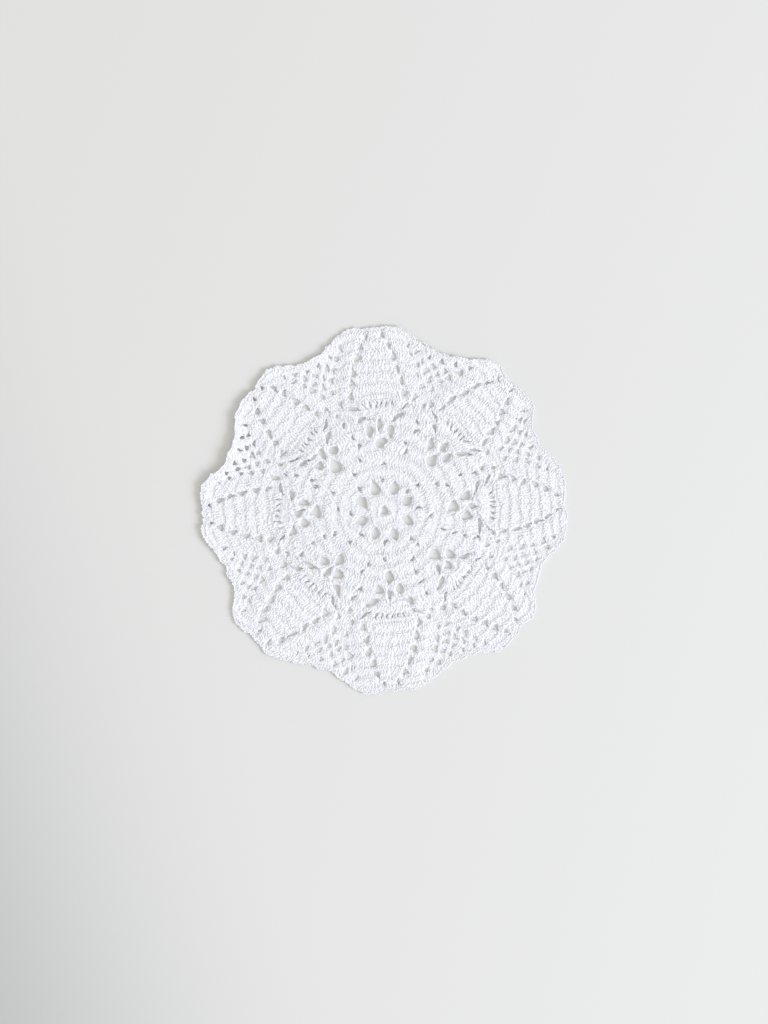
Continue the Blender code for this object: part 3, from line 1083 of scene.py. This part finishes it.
@dataclass
class RepeatedWork:
    """Stitches that each repeat has alike: the base of the sub-assemblies."""

    name: str = "work"
    runs: tuple[Run, ...] = ()
    chains: tuple[Chain, ...] = ()
    chain_width: float = 1.35
    chain_steps: int = 6
    seed: int = 1

    def extra(self, thread: Thread, repeat: int, rng: Rng) -> list[Array]:
        """Further strands of one repeat; none unless a sub-assembly adds them."""
        return []

    def lines(self, thread: Thread, repeat: int, rng: Rng) -> list[Array]:
        """Draw all the strands of one repeat.

        Args:
            thread: Thread to work with.
            repeat: Number of the repeat.
            rng: Source of the hand's unevenness.

        Returns:
            Strand lines on the chart.
        """
        lines = []
        for run in self.runs:
            for side in sides_of(run):
                lines += thread.lines(Patches.of_run(run, repeat, side), run.kind, rng)
        for chain in self.chains:
            for side in sides_of(chain):
                middle = line_angle(repeat, chain.line)
                knots = np.array([polar(middle + side * angle, radius) for angle, radius in chain.path])
                path = curve_through(knots, self.chain_steps) if len(knots) > 2 else knots
                patches = Patches.of_path(path, chain.links, self.chain_width)
                lines += thread.lines(patches, StitchKind.CHAIN, rng)
        return lines + self.extra(thread, repeat, rng)

    def build(self, thread: Thread) -> list[Piece]:
        """Spin one piece for each repeat.

        Args:
            thread: Thread to work with.

        Returns:
            The pieces.
        """
        pieces = []
        for repeat in range(REPEATS):
            rng = np.random.default_rng([self.seed, repeat])
            lines = self.lines(thread, repeat, rng)
            pieces.append(thread.spin(f"{self.name}_{repeat + 1}", lines, rng))
        return pieces


@dataclass
class Rosette(RepeatedWork):
    """Closing ring, first ring of trebles, and eight pillars with eyelets between them."""

    name: str = "rosette"
    seed: int = 10
    runs: tuple[Run, ...] = (
        Run(PINEAPPLE, 3, (-22.5, 22.5, 2.0), (-22.5, 22.5, 6.7)),
        Run(PINEAPPLE, 2, (-11.0, 11.0, 7.0), (-11.0, 11.0, 12.4)),
    )
    chains: tuple[Chain, ...] = (
        Chain(PINEAPPLE, 2, ((-22.5, 1.95), (0.0, 1.95), (22.5, 1.95))),
        Chain(NET, 3, ((-11.5, 12.3), (0.0, 12.9), (11.5, 12.3))),
        Chain(NET, 2, ((-13.0, 6.9), (0.0, 7.0), (13.0, 6.9))),
    )

    def build(self, thread: Thread) -> list[Piece]:
        """Spin the whole rosette as one piece.

        Args:
            thread: Thread to work with.

        Returns:
            The one piece.
        """
        rng = np.random.default_rng(self.seed)
        lines = []
        for repeat in range(REPEATS):
            lines += self.lines(thread, repeat, rng)
        return [thread.spin(self.name, lines, rng)]


@dataclass
class DenseRounds(RepeatedWork):
    """The three close rounds round the rosette, where a cup stands."""

    name: str = "close_rounds"
    seed: int = 20
    runs: tuple[Run, ...] = (
        Run(NET, 6, (-17.0, 17.0, 13.0), (-22.5, 22.5, 17.7)),
        Run(NET, 8, (-21.5, 21.5, 17.9), (-22.5, 22.5, 23.3)),
        Run(NET, 8, (-20.5, 20.5, 23.5), (-17.5, 17.5, 28.5)),
        Run(PINEAPPLE, 2, (-4.0, 4.0, 22.9), (-5.0, 5.0, 24.9), StitchKind.SHORT),
    )


@dataclass
class Leaves(RepeatedWork):
    """Three close rounds that narrow outwards between the pineapples' bases."""

    name: str = "leaf"
    seed: int = 30
    runs: tuple[Run, ...] = (
        Run(NET, 6, (-15.5, 15.5, 28.7), (-12.8, 12.8, 33.8)),
        Run(NET, 4, (-9.3, 9.3, 34.0), (-7.8, 7.8, 39.1)),
        Run(NET, 4, (-7.6, 7.6, 39.4), (-6.4, 6.4, 44.3)),
    )


@dataclass
class Bases(RepeatedWork):
    """Open base under each pineapple, with its posts, bands and fan."""

    name: str = "base"
    seed: int = 40
    runs: tuple[Run, ...] = (
        Run(PINEAPPLE, 2, (0.3, 3.6, 30.8), (2.3, 5.8, 35.6), StitchKind.TREBLE, True),
        Run(PINEAPPLE, 8, (-5.5, 5.5, 37.3), (-11.6, 11.6, 44.0), StitchKind.TREBLE, False, 0.6),
        Run(PINEAPPLE, 2, (10.5, 13.5, 39.4), (11.2, 14.2, 41.6), StitchKind.SHORT, True),
    )
    chains: tuple[Chain, ...] = (
        Chain(PINEAPPLE, 5, ((-7.5, 28.4), (0.0, 30.5), (7.5, 28.4))),
        Chain(PINEAPPLE, 3, ((-3.6, 35.9), (0.0, 37.0), (3.6, 35.9))),
        Chain(PINEAPPLE, 3, ((4.0, 36.3), (8.5, 35.9), (12.5, 35.2)), True),
        Chain(PINEAPPLE, 2, ((11.5, 43.6), (16.5, 45.6)), True),
    )


@dataclass
class Pineapples(RepeatedWork):
    """Ribbed body of each pineapple, which narrows row by row to the scallops."""

    name: str = "pineapple"
    seed: int = 50
    half_angles: tuple[float, ...] = (12.2, 10.8, 8.8, 6.9, 5.0, 3.0, 1.6)
    counts: tuple[int, ...] = (9, 8, 7, 6, 4, 2)
    last_radius: float = 71.4
    runs: tuple[Run, ...] = (
        Run(PINEAPPLE, 9, (-11.8, 11.8, 44.4), (-12.0, 12.0, BODY_START), StitchKind.SHORT),
    )

    def __post_init__(self) -> None:
        """Chart the rows of the body over the row of short stitches."""
        for row, foot, head in body_rows(len(self.counts), self.last_radius):
            inner, outer = self.half_angles[row : row + 2]
            self.runs += (Run(PINEAPPLE, self.counts[row], (-inner, inner, foot), (-outer, outer, head)),)


@dataclass
class Shells(RepeatedWork):
    """Columns of fans on both sides of each pineapple, which end in the scallop tips."""

    name: str = "shells"
    seed: int = 60
    spans: tuple[Pair, ...] = (
        (14.0, 17.4),
        (12.0, 19.2),
        (9.8, 16.9),
        (7.7, 14.9),
        (5.6, 12.8),
        (3.4, 10.7),
    )
    foot_share: float = 0.45
    last_radius: float = 72.0
    stitches: tuple[int, int] = (2, 4)
    bar_reaches: Pair = (2.4, 0.4)

    def __post_init__(self) -> None:
        """Chart the fans and the bars that join them to the pineapple."""
        before, after = self.bar_reaches
        for row, foot, head in body_rows(len(self.spans), self.last_radius):
            inner, outer = self.spans[row]
            middle = (inner + outer) / 2
            drawn = (outer - inner) / 2 * self.foot_share
            narrow = (middle - drawn, middle + drawn, foot)
            count = self.stitches[min(row, 1)]
            self.runs += (Run(PINEAPPLE, count, narrow, (inner, outer, head), mirrored=True),)
            if 0 < row:
                self.chains += (Chain(PINEAPPLE, 1, ((inner - before, foot), (inner + after, foot)), True),)


@dataclass
class Net(RepeatedWork):
    """Open net of chain loops between the pineapples."""

    name: str = "net"
    seed: int = 70
    rows: tuple[NetRow, ...] = NET_ROWS
    link_length: float = 2.0
    first_foot: float = 51.6
    outer_step: float = 2.2
    rim_inset: float = 2.3
    knot_length: float = 1.5
    knot_width: float = 1.5
    runs: tuple[Run, ...] = (
        Run(NET, 2, (-1.6, 1.6, 44.5), (-1.6, 1.6, 49.4)),
        Run(NET, 7, (-7.0, 7.0, 49.6), (-6.6, 6.6, 51.3), StitchKind.SHORT),
    )

    def nodes(self, row: int) -> tuple[Array, Array]:
        """Find where the loops of one row start and end.

        Args:
            row: Number of the row.

        Returns:
            Angles and radii of the places.
        """
        angles, radii = self.rows[row].across()
        inner_angles, inner_radii = ((values[:-1] + values[1:]) / 2 for values in (angles, radii))
        first, last = angles[0] - self.outer_step, angles[-1] + self.outer_step
        end_radius = radii[0] + (radii[0] - radii[1]) / 2
        return (
            np.concatenate(([first], inner_angles, [last])),
            np.concatenate(([end_radius], inner_radii, [end_radius])),
        )

    def extra(self, thread: Thread, repeat: int, rng: Rng) -> list[Array]:
        """Draw the chain loops and their knots in one repeat.

        Args:
            thread: Thread to work with.
            repeat: Number of the repeat.
            rng: Source of the hand's unevenness.

        Returns:
            Strand lines on the chart.
        """
        middle = line_angle(repeat, NET)
        lines = []
        for row, gaps in enumerate(self.rows):
            node_angles, node_radii = self.nodes(row)
            if row == 0:
                node_radii = np.full(len(node_radii), self.first_foot)
            for index, angle in enumerate(gaps.across()[0]):
                if row + 1 < len(self.rows):
                    above_angles, above_radii = self.nodes(row + 1)
                    radius = np.interp(angle, above_angles, above_radii)
                else:
                    radius = float(thread.shape.ideal_rim.at(middle + angle)) - self.rim_inset
                apex = polar(middle + angle, radius)
                for foot in (index, index + 1):
                    start = polar(middle + node_angles[foot], node_radii[foot])
                    path = np.stack((start, apex))
                    links = max(1, round(distance(apex - start) / self.link_length))
                    patches = Patches.of_path(path, links, self.chain_width)
                    lines += thread.lines(patches, StitchKind.CHAIN, rng)
                half = polar(middle + angle, self.knot_length / 2)
                knot = Patches.of_path(np.stack((apex - half, apex + half)), 1, self.knot_width)
                lines += thread.lines(knot, StitchKind.KNOT, rng)
        return lines


@dataclass
class Edging(RepeatedWork):
    """Firm last round of short stitches, with a chain edge along the scallops."""

    name: str = "edging"
    seed: int = 80
    pitch: float = 2.15
    foot_inset: float = 2.35
    head_inset: float = 0.62
    wander: float = 0.16
    rim_points: int = 181

    def lines(self, thread: Thread, repeat: int, rng: Rng) -> list[Array]:
        """Draw the short stitches of one repeat along the rim.

        Args:
            thread: Thread to work with.
            repeat: Number of the repeat.
            rng: Source of the hand's unevenness.

        Returns:
            Strand lines on the chart.
        """
        start = line_angle(repeat, PINEAPPLE) - REPEAT_ANGLE / 2
        angles = start + np.linspace(0.0, REPEAT_ANGLE, self.rim_points)
        reached = lengths_along(polar(angles, thread.shape.ideal_rim.at(angles)))
        count = round(reached[-1] / self.pitch)
        edges = np.interp(np.linspace(0.0, reached[-1], 2 * count + 1), reached, angles)
        before, at, after = edges[0:-1:2], edges[1::2], edges[2::2]
        wander = np.convolve(rng.normal(0.0, self.wander, count + 2), (0.5, 1.0, 0.5), "valid")

        def inset(angle: Array, depth: float) -> Array:
            """Chart points a depth inside the rim."""
            return polar(angle, thread.shape.ideal_rim.at(angle) - depth + wander)

        patches = Patches(
            inset(at, self.foot_inset),
            inset(at, self.head_inset),
            inset(after, self.foot_inset) - inset(before, self.foot_inset),
            inset(after, self.head_inset) - inset(before, self.head_inset),
        )
        return thread.lines(patches, StitchKind.EDGE, rng)


@dataclass
class CrossingThreads:
    """Short strokes where no stitch covers the ground, as the thread passes from stitch to stitch."""

    name: str = "crossing_threads"
    seed: int = 95
    half_size: float = 78.0
    cell: float = 0.2
    cover: int = 2
    spacing: int = 3
    reach: float = 1.2
    length: float = 1.6
    length_factors: Pair = (0.75, 1.15)
    lean: float = 35.0
    sag: float = 0.12
    rim_inset: float = 1.1
    least_beyond: float = 0.15
    heights: Pair = (0.5, 0.95)
    height_jitter: float = 0.08
    points: int = 3

    def bare_places(self, thread: Thread, rng: Rng) -> Array:
        """Find evenly spread chart points that no strand covers.

        Args:
            thread: Thread, with the strands laid so far.
            rng: Source of the order in which places are tried.

        Returns:
            The points, one a row.
        """
        side = int(2 * self.half_size / self.cell)
        cells = ((np.vstack(thread.laid) + self.half_size) / self.cell).astype(int)
        covered = np.zeros((side, side), dtype=bool)
        for step_x in range(-self.cover, self.cover + 1):
            for step_y in range(-self.cover, self.cover + 1):
                if step_x**2 + step_y**2 <= self.cover**2 + 1:
                    covered[cells[:, 0] + step_x, cells[:, 1] + step_y] = True
        rows, columns = np.nonzero(~covered)
        flat = np.column_stack((rows, columns)) * self.cell - self.half_size + self.cell / 2
        flat = flat[distance(flat) < thread.shape.ideal_rim.at(bearing(flat)) - self.rim_inset]
        for gap in thread.gaps.rows:
            close = distance(flat - gap.centre) < gap.half_length + gap.half_width
            out = np.ones(len(flat), dtype=bool)
            out[close] = gap.beyond(flat[close]) > self.least_beyond
            flat = flat[out]
        taken = np.zeros((side, side), dtype=bool)
        chosen = []
        for point in flat[rng.permutation(len(flat))]:
            x, y = ((point + self.half_size) / self.cell).astype(int)
            if not taken[x, y]:
                chosen.append(point)
                around = [slice(at - self.spacing, at + self.spacing + 1) for at in (x, y)]
                taken[tuple(around)] = True
        return np.array(chosen)

    def build(self, thread: Thread) -> list[Piece]:
        """Lay one stroke at every bare place.

        Args:
            thread: Thread, with the strands laid so far.

        Returns:
            The one piece.
        """
        rng = np.random.default_rng(self.seed)
        places = self.bare_places(thread, rng)
        count = len(places)
        share = np.linspace(-0.5, 0.5, self.points)[None, :, None]
        angles = bearing(places) + rng.normal(0.0, self.lean, count)
        along = polar(angles, self.length * rng.uniform(*self.length_factors, count))[:, None]
        across = polar(angles + 90.0, self.sag * rng.choice((-1.0, 1.0), count))[:, None]
        flat = places[:, None] + along * share + across * (1.0 - 4.0 * share**2)
        low, high = self.heights
        height = low + (high - low) * np.cos(np.pi * share[..., 0])
        height = height + rng.normal(0.0, self.height_jitter, (count, 1))
        lines = [np.concatenate((flat, height[..., None]), axis=-1)]
        return [thread.spin(self.name, lines, rng, self.reach)]


@dataclass
class Ground:
    """Thin closed layer under the strands, cut open at every gap."""

    name: str = "ground"
    bottom: float = 0.1
    top: float = 0.72
    inset: float = 0.62
    rim_points: int = 320
    first_ring: float = 4.0
    last_ring: float = 72.0
    ring_step: float = 3.6
    least_ring_points: int = 12
    gap_margin: float = 1.0
    rim_margin: float = 3.0
    tolerance: float = 1e-6
    edge_factor: float = 0.6
    sharp_angle: float = 40.0

    def flat_layout(self, shape: WorkedShape, gaps: GapChart) -> tuple[Array, Array]:
        """Cut the flat layer into triangles.

        Args:
            shape: Shape of the real work.
            gaps: Gaps of the chart.

        Returns:
            Chart points, and the triangles as point numbers.
        """
        angles = 360.0 * np.arange(self.rim_points) / self.rim_points
        loops = [polar(angles, shape.ideal_rim.at(angles) - self.inset)] + gaps.loops()
        inner = []
        for radius in np.arange(self.first_ring, self.last_ring, self.ring_step):
            count = max(self.least_ring_points, int(round(2.0 * np.pi * radius / self.ring_step)))
            inner.append(polar(360.0 * np.arange(count) / count, radius))
        centres = np.array([loop.mean(axis=0) for loop in loops[1:]])
        sizes = np.array([distance(loop - loop.mean(axis=0)).max() for loop in loops[1:]])
        free = np.vstack(inner)
        apart = np.linalg.norm(free[:, None] - centres[None], axis=-1) > sizes[None] + self.gap_margin
        free = free[apart.all(axis=1)]
        for growth in gaps.slope_growths:
            slope = np.vstack(gaps.loops(growth))
            least = gaps.net_growth + growth / 2
            outside = np.array([gap.beyond(slope) for gap in gaps.rows]).min(axis=0) > least
            free = np.vstack((free, slope[outside]))
        within = distance(free) < shape.ideal_rim.at(bearing(free)) - self.rim_margin
        edges = []
        start = 0
        for loop in loops:
            edges.extend((start + i, start + (i + 1) % len(loop)) for i in range(len(loop)))
            start += len(loop)
        flat = [Vector(point) for point in np.vstack((*loops, free[within]))]
        out, _, faces, _, _, _ = delaunay_2d_cdt(flat, edges, [], 1, self.tolerance)
        places = np.array([tuple(point) for point in out])
        triangles = np.array([tuple(face) for face in faces])
        middles = places[triangles].mean(axis=1)
        kept = np.ones(len(triangles), dtype=bool)
        for loop in loops[1:]:
            kept &= ~inside(middles, loop)
        return places, triangles[kept]

    def build(self, shape: WorkedShape, gaps: GapChart) -> Piece:
        """Make the closed layer.

        Args:
            shape: Shape of the real work.
            gaps: Gaps of the chart.

        Returns:
            The layer, linked to the scene.
        """
        flat, faces = self.flat_layout(shape, gaps)
        count = len(flat)
        bottom, top = (np.column_stack((flat, np.full(count, at))) for at in (self.bottom, self.top))
        low = shape.place(bottom, lofted=False)
        high = shape.place(top, gaps.stand(flat, self.edge_factor))
        directed = np.concatenate((faces[:, [0, 1]], faces[:, [1, 2]], faces[:, [2, 0]]))
        codes = directed[:, 0] * count + directed[:, 1]
        opposite = directed[:, 1] * count + directed[:, 0]
        border = directed[~np.isin(codes, opposite)]
        walls = np.column_stack((border[:, 0], border[:, 1], border[:, 1] + count, border[:, 0] + count))
        corners = np.concatenate(((faces + count).ravel(), faces[:, ::-1].ravel(), walls.ravel()))
        sizes = np.concatenate((np.full(2 * len(faces), 3), np.full(len(walls), 4)))
        layer = mesh_object(self.name, np.vstack((low, high)) * MM, corners, sizes)
        layer.data.set_sharp_from_angle(angle=np.radians(self.sharp_angle))
        return layer


def inside(points: Array, loop: Array) -> Array:
    """Tell which points lie in a closed loop.

    Args:
        points: Flat points, one a row.
        loop: Corners of the loop, in order.

    Returns:
        True for each point in the loop.
    """
    odd = np.zeros(len(points), dtype=bool)
    x, y = points.T
    for first, second in zip(loop, np.roll(loop, -1, axis=0)):
        if first[1] == second[1]:
            continue
        crosses = (first[1] > y) != (second[1] > y)
        crossing = first[0] + (y - first[1]) * (second[0] - first[0]) / (second[1] - first[1])
        odd ^= crosses & (crossing > x)
    return odd


class ShaderNodes:
    """A new material and its nodes."""

    def __init__(self, name: str, roughness: float, specular: float) -> None:
        """Make the material.

        Args:
            name: Name of the material.
            roughness: Roughness of its surface.
            specular: Strength of its reflections.
        """
        self.material = bpy.data.materials.new(name)
        self.material.use_nodes = True
        self.tree = self.material.node_tree
        self.shader = self.tree.nodes["Principled BSDF"]
        self.fill(self.shader, {"Roughness": roughness, "Specular IOR Level": specular})
        self.place = self.add("TexCoord").outputs["Object"]

    def fill(self, node: bpy.types.Node, inputs: Inputs) -> None:
        """Link or set inputs of a node.

        Args:
            node: The node.
            inputs: A socket to link or a value to set, for each input by name or number.
        """
        for key, value in inputs.items():
            if isinstance(value, Socket):
                self.tree.links.new(value, node.inputs[key])
            else:
                node.inputs[key].default_value = value

    def add(self, kind: str, inputs: Inputs | None = None, **settings: str) -> bpy.types.Node:
        """Add a node.

        Args:
            kind: Its type, without the prefix.
            inputs: What its inputs are filled with.
            settings: Its other settings.

        Returns:
            The node.
        """
        node = self.tree.nodes.new(f"ShaderNode{kind}")
        for name, value in settings.items():
            setattr(node, name, value)
        self.fill(node, inputs or {})
        return node

    def math(self, operation: str, *inputs: object) -> Socket:
        """Result of a sum on sockets and values."""
        return self.add("Math", dict(enumerate(inputs)), operation=operation).outputs["Value"]

    def bump(self, height: Socket, strength: float, depth: float) -> None:
        """Raise the surface by a height."""
        bump = self.add("Bump", {"Strength": strength, "Distance": depth, "Height": height})
        self.fill(self.shader, {"Normal": bump.outputs["Normal"]})

    def colour(self, share: Socket, low: Colour, high: Colour, ends: Pair) -> None:
        """Colour the surface.

        Args:
            share: What the colour goes by.
            low: Colour at the first end and below.
            high: Colour at the second end and above.
            ends: The share at both ends.
        """
        ramp = self.add("ValToRGB", {"Fac": share})
        for stop, position, colour in zip(ramp.color_ramp.elements, ends, (low, high)):
            stop.position = position
            stop.color = colour
        self.fill(self.shader, {"Base Color": ramp.outputs["Color"]})


@dataclass(frozen=True)
class CottonThread:
    """White cotton thread of two twisted plies, matt and slightly fuzzy."""

    name: str = "white_cotton_thread"
    light: Colour = (0.924, 0.929, 0.968, 1.0)
    shade: Colour = (0.894, 0.899, 0.953, 1.0)
    colour_ends: Pair = (0.3, 0.6)
    roughness: float = 0.7
    specular: float = 0.3
    sheen: float = 0.25
    plies: int = 2
    plies_along: float = 9.0
    ply_bump: float = 0.35
    bump_strength: float = 0.4
    bump_depth: float = 0.0001
    fibre_scale: float = 2600.0
    fibre_detail: float = 3.0
    patch_scale: float = 420.0
    patch_detail: float = 2.0

    def material(self) -> bpy.types.Material:
        """Make the thread's material from nodes.

        Returns:
            The material.
        """
        made = ShaderNodes(self.name, self.roughness, self.specular)
        made.fill(made.shader, {"Sheen Weight": self.sheen})
        uv = made.add("SeparateXYZ", {"Vector": made.add("TexCoord").outputs["UV"]}).outputs
        twist = made.math("MULTIPLY_ADD", uv["X"], self.plies_along, uv["Y"])
        wave = made.math("SINE", made.math("MULTIPLY", twist, 2.0 * np.pi * self.plies))
        fibre = made.add(
            "TexNoise", {"Scale": self.fibre_scale, "Detail": self.fibre_detail, "Vector": made.place}
        )
        height = made.math("MULTIPLY_ADD", wave, self.ply_bump, fibre.outputs["Fac"])
        made.bump(height, self.bump_strength, self.bump_depth)
        patch = made.add(
            "TexNoise", {"Scale": self.patch_scale, "Detail": self.patch_detail, "Vector": made.place}
        )
        made.colour(patch.outputs["Fac"], self.shade, self.light, self.colour_ends)
        return made.material


@dataclass(frozen=True)
class CottonGroundPaintedShade:
    """The back strands between the visible ones: the same cotton with painted shade, a little darker and
    warmer than the thread, and darker still along the edges of its strand cells.
    """

    name: str = "cotton_back_strands_painted_shade"
    light: Colour = (0.917, 0.915, 0.946, 1.0)
    shade: Colour = (0.892, 0.89, 0.93, 1.0)
    colour_ends: Pair = (0.0, 0.35)
    roughness: float = 0.9
    specular: float = 0.2
    strand_scale: float = 1100.0
    bump_strength: float = 0.6
    bump_depth: float = 0.0003

    def material(self) -> bpy.types.Material:
        """Make the ground's material from nodes.

        Returns:
            The material.
        """
        made = ShaderNodes(self.name, self.roughness, self.specular)
        strands = made.add(
            "TexVoronoi", {"Scale": self.strand_scale, "Vector": made.place}, feature="DISTANCE_TO_EDGE"
        )
        made.bump(strands.outputs["Distance"], self.bump_strength, self.bump_depth)
        # Painted shade: the colour darkens towards the edges of the strand cells, where the grooves are.
        made.colour(strands.outputs["Distance"], self.shade, self.light, self.colour_ends)
        return made.material


@dataclass(frozen=True)
class Tabletop:
    """Plain pale surface under the coaster, with painted shade that makes it a little darker towards one
    corner.
    """

    name: str = "pale_tabletop_painted_shade"
    light: Colour = (0.766, 0.767, 0.759, 1.0)
    shade: Colour = (0.448, 0.465, 0.47, 1.0)
    colour_ends: Pair = (0.0, 1.0)
    roughness: float = 0.75
    specular: float = 0.1
    grain: float = 0.012
    grain_scale: float = 900.0
    shade_turn: float = 20.0
    shade_start: float = -0.19
    shade_length: float = 0.26

    def material(self) -> bpy.types.Material:
        """Make the tabletop's material from nodes.

        Returns:
            The material.
        """
        made = ShaderNodes(self.name, self.roughness, self.specular)
        # Painted shade: along a slanted line across the table, the colour runs from the shade colour to the
        # light one.
        turned = np.radians(self.shade_turn)
        along = made.add(
            "VectorMath", {0: made.place, 1: (np.cos(turned), np.sin(turned), 0.0)}, operation="DOT_PRODUCT"
        )
        half = self.shade_length / 2
        reached = made.add(
            "MapRange",
            {
                "From Min": self.shade_start - half,
                "From Max": self.shade_start + half,
                "Value": along.outputs["Value"],
            },
            interpolation_type="SMOOTHERSTEP",
        )
        noise = made.add("TexNoise", {"Scale": self.grain_scale, "Vector": made.place})
        # The painted shade's share and the table's own grain are added, and the sum picks the colour.
        grain = made.math("MULTIPLY_ADD", noise.outputs["Fac"], self.grain, reached.outputs["Result"])
        made.colour(grain, self.shade, self.light, self.colour_ends)
        return made.material


@dataclass
class Studio:
    """Pale table, soft light from the right, and the camera straight above."""

    table_size: float = 30.0
    window_turn: float = 108.0
    window_height: float = 31.0
    window_distance: float = 2.6
    window_size: float = 1.25
    window_power: float = 48.5
    window_colour: Triple = (0.84, 0.88, 1.0)
    sky: Colour = (1.0, 0.985, 0.935, 1.0)
    sky_strength: float = 0.74
    camera_height: float = 0.8
    camera_place: Pair = (0.000275, -0.000983)
    view_height: float = 0.4147
    sensor_width: float = 36.0

    def table(self) -> Piece:
        """Make the tabletop.

        Returns:
            The tabletop, which is stage.
        """
        half = self.table_size / 2
        points = half * np.array([(-1.0, -1.0, 0.0), (1.0, -1.0, 0.0), (1.0, 1.0, 0.0), (-1.0, 1.0, 0.0)])
        top = mesh_object("tabletop", points, np.arange(4), np.array([4]))
        top.data.materials.append(Tabletop().material())
        return top

    def light(self) -> None:
        """Light the scene with one soft window and the sky."""
        height = np.radians(self.window_height)
        level = polar(self.window_turn, np.cos(height))
        towards = Vector((level[0], level[1], np.sin(height)))
        lamp = bpy.data.lights.new("window", "AREA")
        lamp.energy = self.window_power
        lamp.color = self.window_colour
        lamp.shape = "DISK"
        lamp.size = self.window_size
        window = bpy.data.objects.new("window", lamp)
        window.location = towards * self.window_distance
        window.rotation_euler = towards.to_track_quat("Z", "Y").to_euler()
        bpy.context.collection.objects.link(window)
        world = bpy.data.worlds.new("sky")
        world.use_nodes = True
        back = world.node_tree.nodes["Background"]
        back.inputs["Color"].default_value = self.sky
        back.inputs["Strength"].default_value = self.sky_strength
        bpy.context.scene.world = world

    def camera(self) -> None:
        """Set the camera straight above, with the photograph's frame."""
        data = bpy.data.cameras.new("camera")
        data.sensor_width = self.sensor_width
        data.lens = self.sensor_width * self.camera_height / self.view_height
        camera = bpy.data.objects.new("camera", data)
        camera.location = (*self.camera_place, self.camera_height)
        bpy.context.collection.objects.link(camera)
        bpy.context.scene.camera = camera
        bpy.context.scene.view_settings.view_transform = "Standard"


WORK = (Rosette, DenseRounds, Leaves, Bases, Pineapples, Shells, Net, Edging, CrossingThreads)


def main() -> None:
    """Work the coaster, dress it, and set it in the studio."""
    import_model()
    studio = Studio()
    studio.camera()
    studio.table()
    studio.light()
    shape = WorkedShape()
    gaps = GapChart()
    thread = Thread(shape, gaps)
    cotton = CottonThread().material()
    for part in WORK:
        for piece in part().build(thread):
            piece.data.materials.append(cotton)
            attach(piece, BODY)
            triangles = sum(len(face.vertices) - 2 for face in piece.data.polygons)
            LOG.info("%s: %d triangles", piece.name, triangles)
    ground = Ground().build(shape, gaps)
    # The ground's cotton carries painted shade: a little darker and warmer than the thread's.
    ground.data.materials.append(CottonGroundPaintedShade().material())
    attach(ground, BODY)
    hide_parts(CAD_NODE)
    LOG.info("%s: %d faces", ground.name, len(ground.data.polygons))


if __name__ == "__main__":
    logging.basicConfig(level=logging.INFO, format="%(message)s")
    main()
